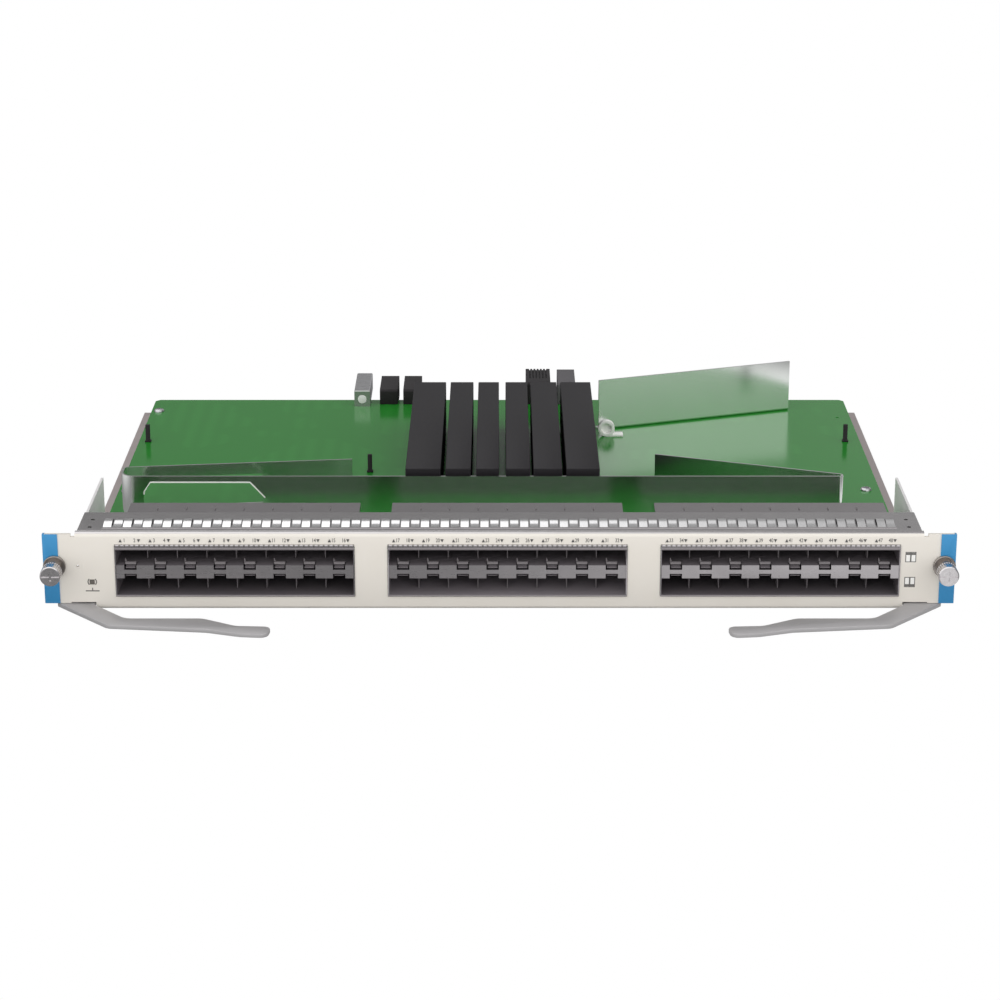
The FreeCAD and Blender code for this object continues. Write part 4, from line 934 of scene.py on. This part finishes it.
# %% Pan heads with a cross recess
HEAD_SECTION = ((2.9, 0), (2.9, 0.7), (2.6, 1.15), (2.1, 1.4), (1.7, 1.5))
ARM = 0.35 * MM
head = turned(HEAD_SECTION, 32)
bmesh.ops.translate(head, verts=head.verts, vec=(0, -FACE, 0))
bmesh.ops.rotate(head, verts=head.verts, cent=(0, 0, 0), matrix=UPRIGHT.to_3x3())
top = max(v.co.z for v in head.verts)
rim = [e for e in head.edges if e.is_boundary and e.verts[0].co.z > top - 1e-6]
bmesh.ops.contextual_create(head, geom=rim)
for normal in (Vector((1, 0, 0)), Vector((0, 1, 0))):
    for at in (-normal * ARM, normal * ARM):
        flats = [f for f in head.faces if f.calc_center_median().z > top - 1e-6]
        score(head, flats, at, normal)
cross = []
for face in head.faces:
    middle = face.calc_center_median()
    if middle.z > top - 1e-6 and min(abs(middle.x), abs(middle.y)) < ARM:
        cross.append(face)
press(head, cross, (0, 0, -0.8 * MM))
bmesh.ops.recalc_face_normals(head, faces=head.faces)
head_mesh = kept(head)

# %% A head where each of the board's screws is
loose = copy_of("board_screws")
spots = []
left = set(loose.verts)
while left:
    group = [left.pop()]
    for vert in group:
        for edge in vert.link_edges:
            other = edge.other_vert(vert)
            if other in left:
                left.remove(other)
                group.append(other)
    xs = [v.co.x for v in group]
    ys = [v.co.y for v in group]
    spots.append(((min(xs) + max(xs)) / 2, (min(ys) + max(ys)) / 2, min(v.co.z for v in group)))
loose.free()
heads = bmesh.new()
add_copies(heads, head_mesh, spots)
set_down("board_screws_turned", heads, "screw_steel", "card", ["board_screws"])
print("board screws at", [[round(c, 4) for c in spot] for spot in spots])

# %% [markdown]
# ## Edging of the baffle's cut-out
# A white plastic edging lines the top of the cut-out in the baffle, so that cables drawn through
# it aren't chafed. It is a thin strip that follows the cut edge: a chain of edges pushed through
# the sheet and given its thickness.

# %% White edging strip
WALL_END, WALL_AT = -195 * MM, FACE + 110.1 * MM
CUT_OUT = ((11.5, 14.6), (11.5, 16.2), (15.0, 21.4), (66.6, 21.4), (74.3, 13.0))
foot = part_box("air_baffle")[0].z
edging = bmesh.new()
points = [(WALL_END + x * MM, WALL_AT, foot + z * MM) for x, z in CUT_OUT]
pull_strip(edging, points, (0, 1.8 * MM, 0))
bmesh.ops.recalc_face_normals(edging, faces=edging.faces)
bmesh.ops.solidify(edging, geom=edging.faces[:], thickness=0.45 * MM)
set_down("cutout_edging", edging, "white_plastic", "card")

# %% [markdown]
# ## Studio
# The photograph was taken on a white light table: the ground is as white as the background, and
# the card has no shadow on it. So the floor is a pale sheet that glows softly, plain white where it
# is seen straight on. In the light it gives off it is darker close in front of the faceplate, which
# is a painted shadow of the card, and in reflections it changes across its width, with a bright
# band off the card's left end and a dim band off its right end, which are painted reflections. The
# room round it is pale too. A low surface such as the board mirrors what is behind it near the
# horizon, a raised finger mirrors what is higher up, and an upright face mirrors the table in
# front, so the
# room is a soft gradient by direction: dim behind, brighter overhead and in front.

# %% Room light by direction
world = bpy.data.worlds.new("studio")
world.use_nodes = True
bpy.context.scene.world = world
tree = world.node_tree
direction = add_node(tree, "ShaderNodeTexCoord", {}).outputs["Generated"]
axes = add_node(tree, "ShaderNodeSeparateXYZ", {}, {0: direction})
room = {}
for part, axis, start, end, low, high in (
    ("horizon", "X", -0.05, 0.25, 0.27, 0.48),
    ("overhead", "X", -0.05, 0.15, 1.6, 0.45),
    ("raised", "Z", 0.45, 0.58, 0.0, 1.0),
    ("ahead", "Y", 0.25, -0.45, 0.0, 1.0),
    ("beside", "X", 0.65, 0.9, 1.0, 0.3),
    ("facing", "Y", 0.4, -0.8, 0.42, 1.42),
):
    room[part] = add_node(
        tree, "ShaderNodeMapRange",
        {
            "interpolation_type": "SMOOTHSTEP", "From Min": start, "From Max": end,
            "To Min": low, "To Max": high,
        },
        {"Value": axes.outputs[axis]},
    ).outputs[0]
behind = add_node(
    tree, "ShaderNodeMix", {},
    {0: room["raised"], 2: room["horizon"], 3: room["overhead"]},
)
mirrored = add_node(tree, "ShaderNodeMix", {3: 1.42}, {0: room["ahead"], 2: behind.outputs[0]})
dimmed = add_node(
    tree, "ShaderNodeMath", {"operation": "MULTIPLY"},
    {0: mirrored.outputs[0], 1: room["beside"]},
)
seen = add_node(tree, "ShaderNodeLightPath", {})
lit = add_node(
    tree, "ShaderNodeMix", {},
    {0: seen.outputs["Is Glossy Ray"], 2: room["facing"], 3: dimmed.outputs[0]},
)
shown = add_node(
    tree, "ShaderNodeMix", {3: 1.0},
    {0: seen.outputs["Is Camera Ray"], 2: lit.outputs[0]},
)
add_node(tree, "Background", {"Color": (1, 1, 1, 1)}, {"Strength": shown.outputs[0]})
print("room light by direction:", sorted(room))

# %% Light table under the card
UNDER_CARD = 0.4 * MM
sheet = bmesh.new()
bmesh.ops.create_grid(sheet, x_segments=1, y_segments=1, size=4.0)
bmesh.ops.translate(sheet, verts=sheet.verts, vec=(0, 0, cad_box[0][2] - UNDER_CARD))
table = bpy.data.objects.new("light_table", bpy.data.meshes.new("light_table"))
sheet.to_mesh(table.data)
sheet.free()
bpy.context.scene.collection.objects.link(table)
tree, place = start_finish("glowing_white")
axes = add_node(tree, "ShaderNodeSeparateXYZ", {}, {0: place})
glow = {}
for part, axis, start, end, low, high in (
    # In reflections only: brightness across the width, a bright band off the left end and a dim
    # band off the right end: painted reflections.
    ("reflection_painted_across", "X", -0.087, 0.223, 0.27, 0.95),
    ("left", "X", -0.24, -0.32, 0.0, 0.65),
    ("right", "X", 0.225, 0.27, 0.0, -0.7),
    # For the light the table gives off, darker close in front of the faceplate: painted shadow of
    # the card.
    ("away", "Y", FACE - 0.12, FACE - 0.01, 1.0, 0.16),
):
    glow[part] = add_node(
        tree, "ShaderNodeMapRange",
        {
            "interpolation_type": "SMOOTHSTEP", "From Min": start, "From Max": end,
            "To Min": low, "To Max": high,
        },
        {"Value": axes.outputs[axis]},
    ).outputs[0]
ends = add_node(
    tree, "ShaderNodeMath", {"operation": "ADD"},
    {0: glow["left"], 1: glow["right"]},
)
mirrored = add_node(
    tree, "ShaderNodeMath", {"operation": "ADD"},
    {0: glow["reflection_painted_across"], 1: ends.outputs[0]},
)
seen = add_node(tree, "ShaderNodeLightPath", {})
lit = add_node(
    tree, "ShaderNodeMix", {},
    {0: seen.outputs["Is Glossy Ray"], 2: glow["away"], 3: mirrored.outputs[0]},
)
shown = add_node(
    tree, "ShaderNodeMix", {3: 1.0},
    {0: seen.outputs["Is Camera Ray"], 2: lit.outputs[0]},
)
lamp = add_node(
    tree, "ShaderNodeEmission", {"Color": (1, 1, 1, 1)},
    {"Strength": shown.outputs[0]},
)
add_node(tree, "Material Output", {}, {"Surface": lamp.outputs[0]})
table.data.materials.append(finishes["glowing_white"])
print("light table under the card")
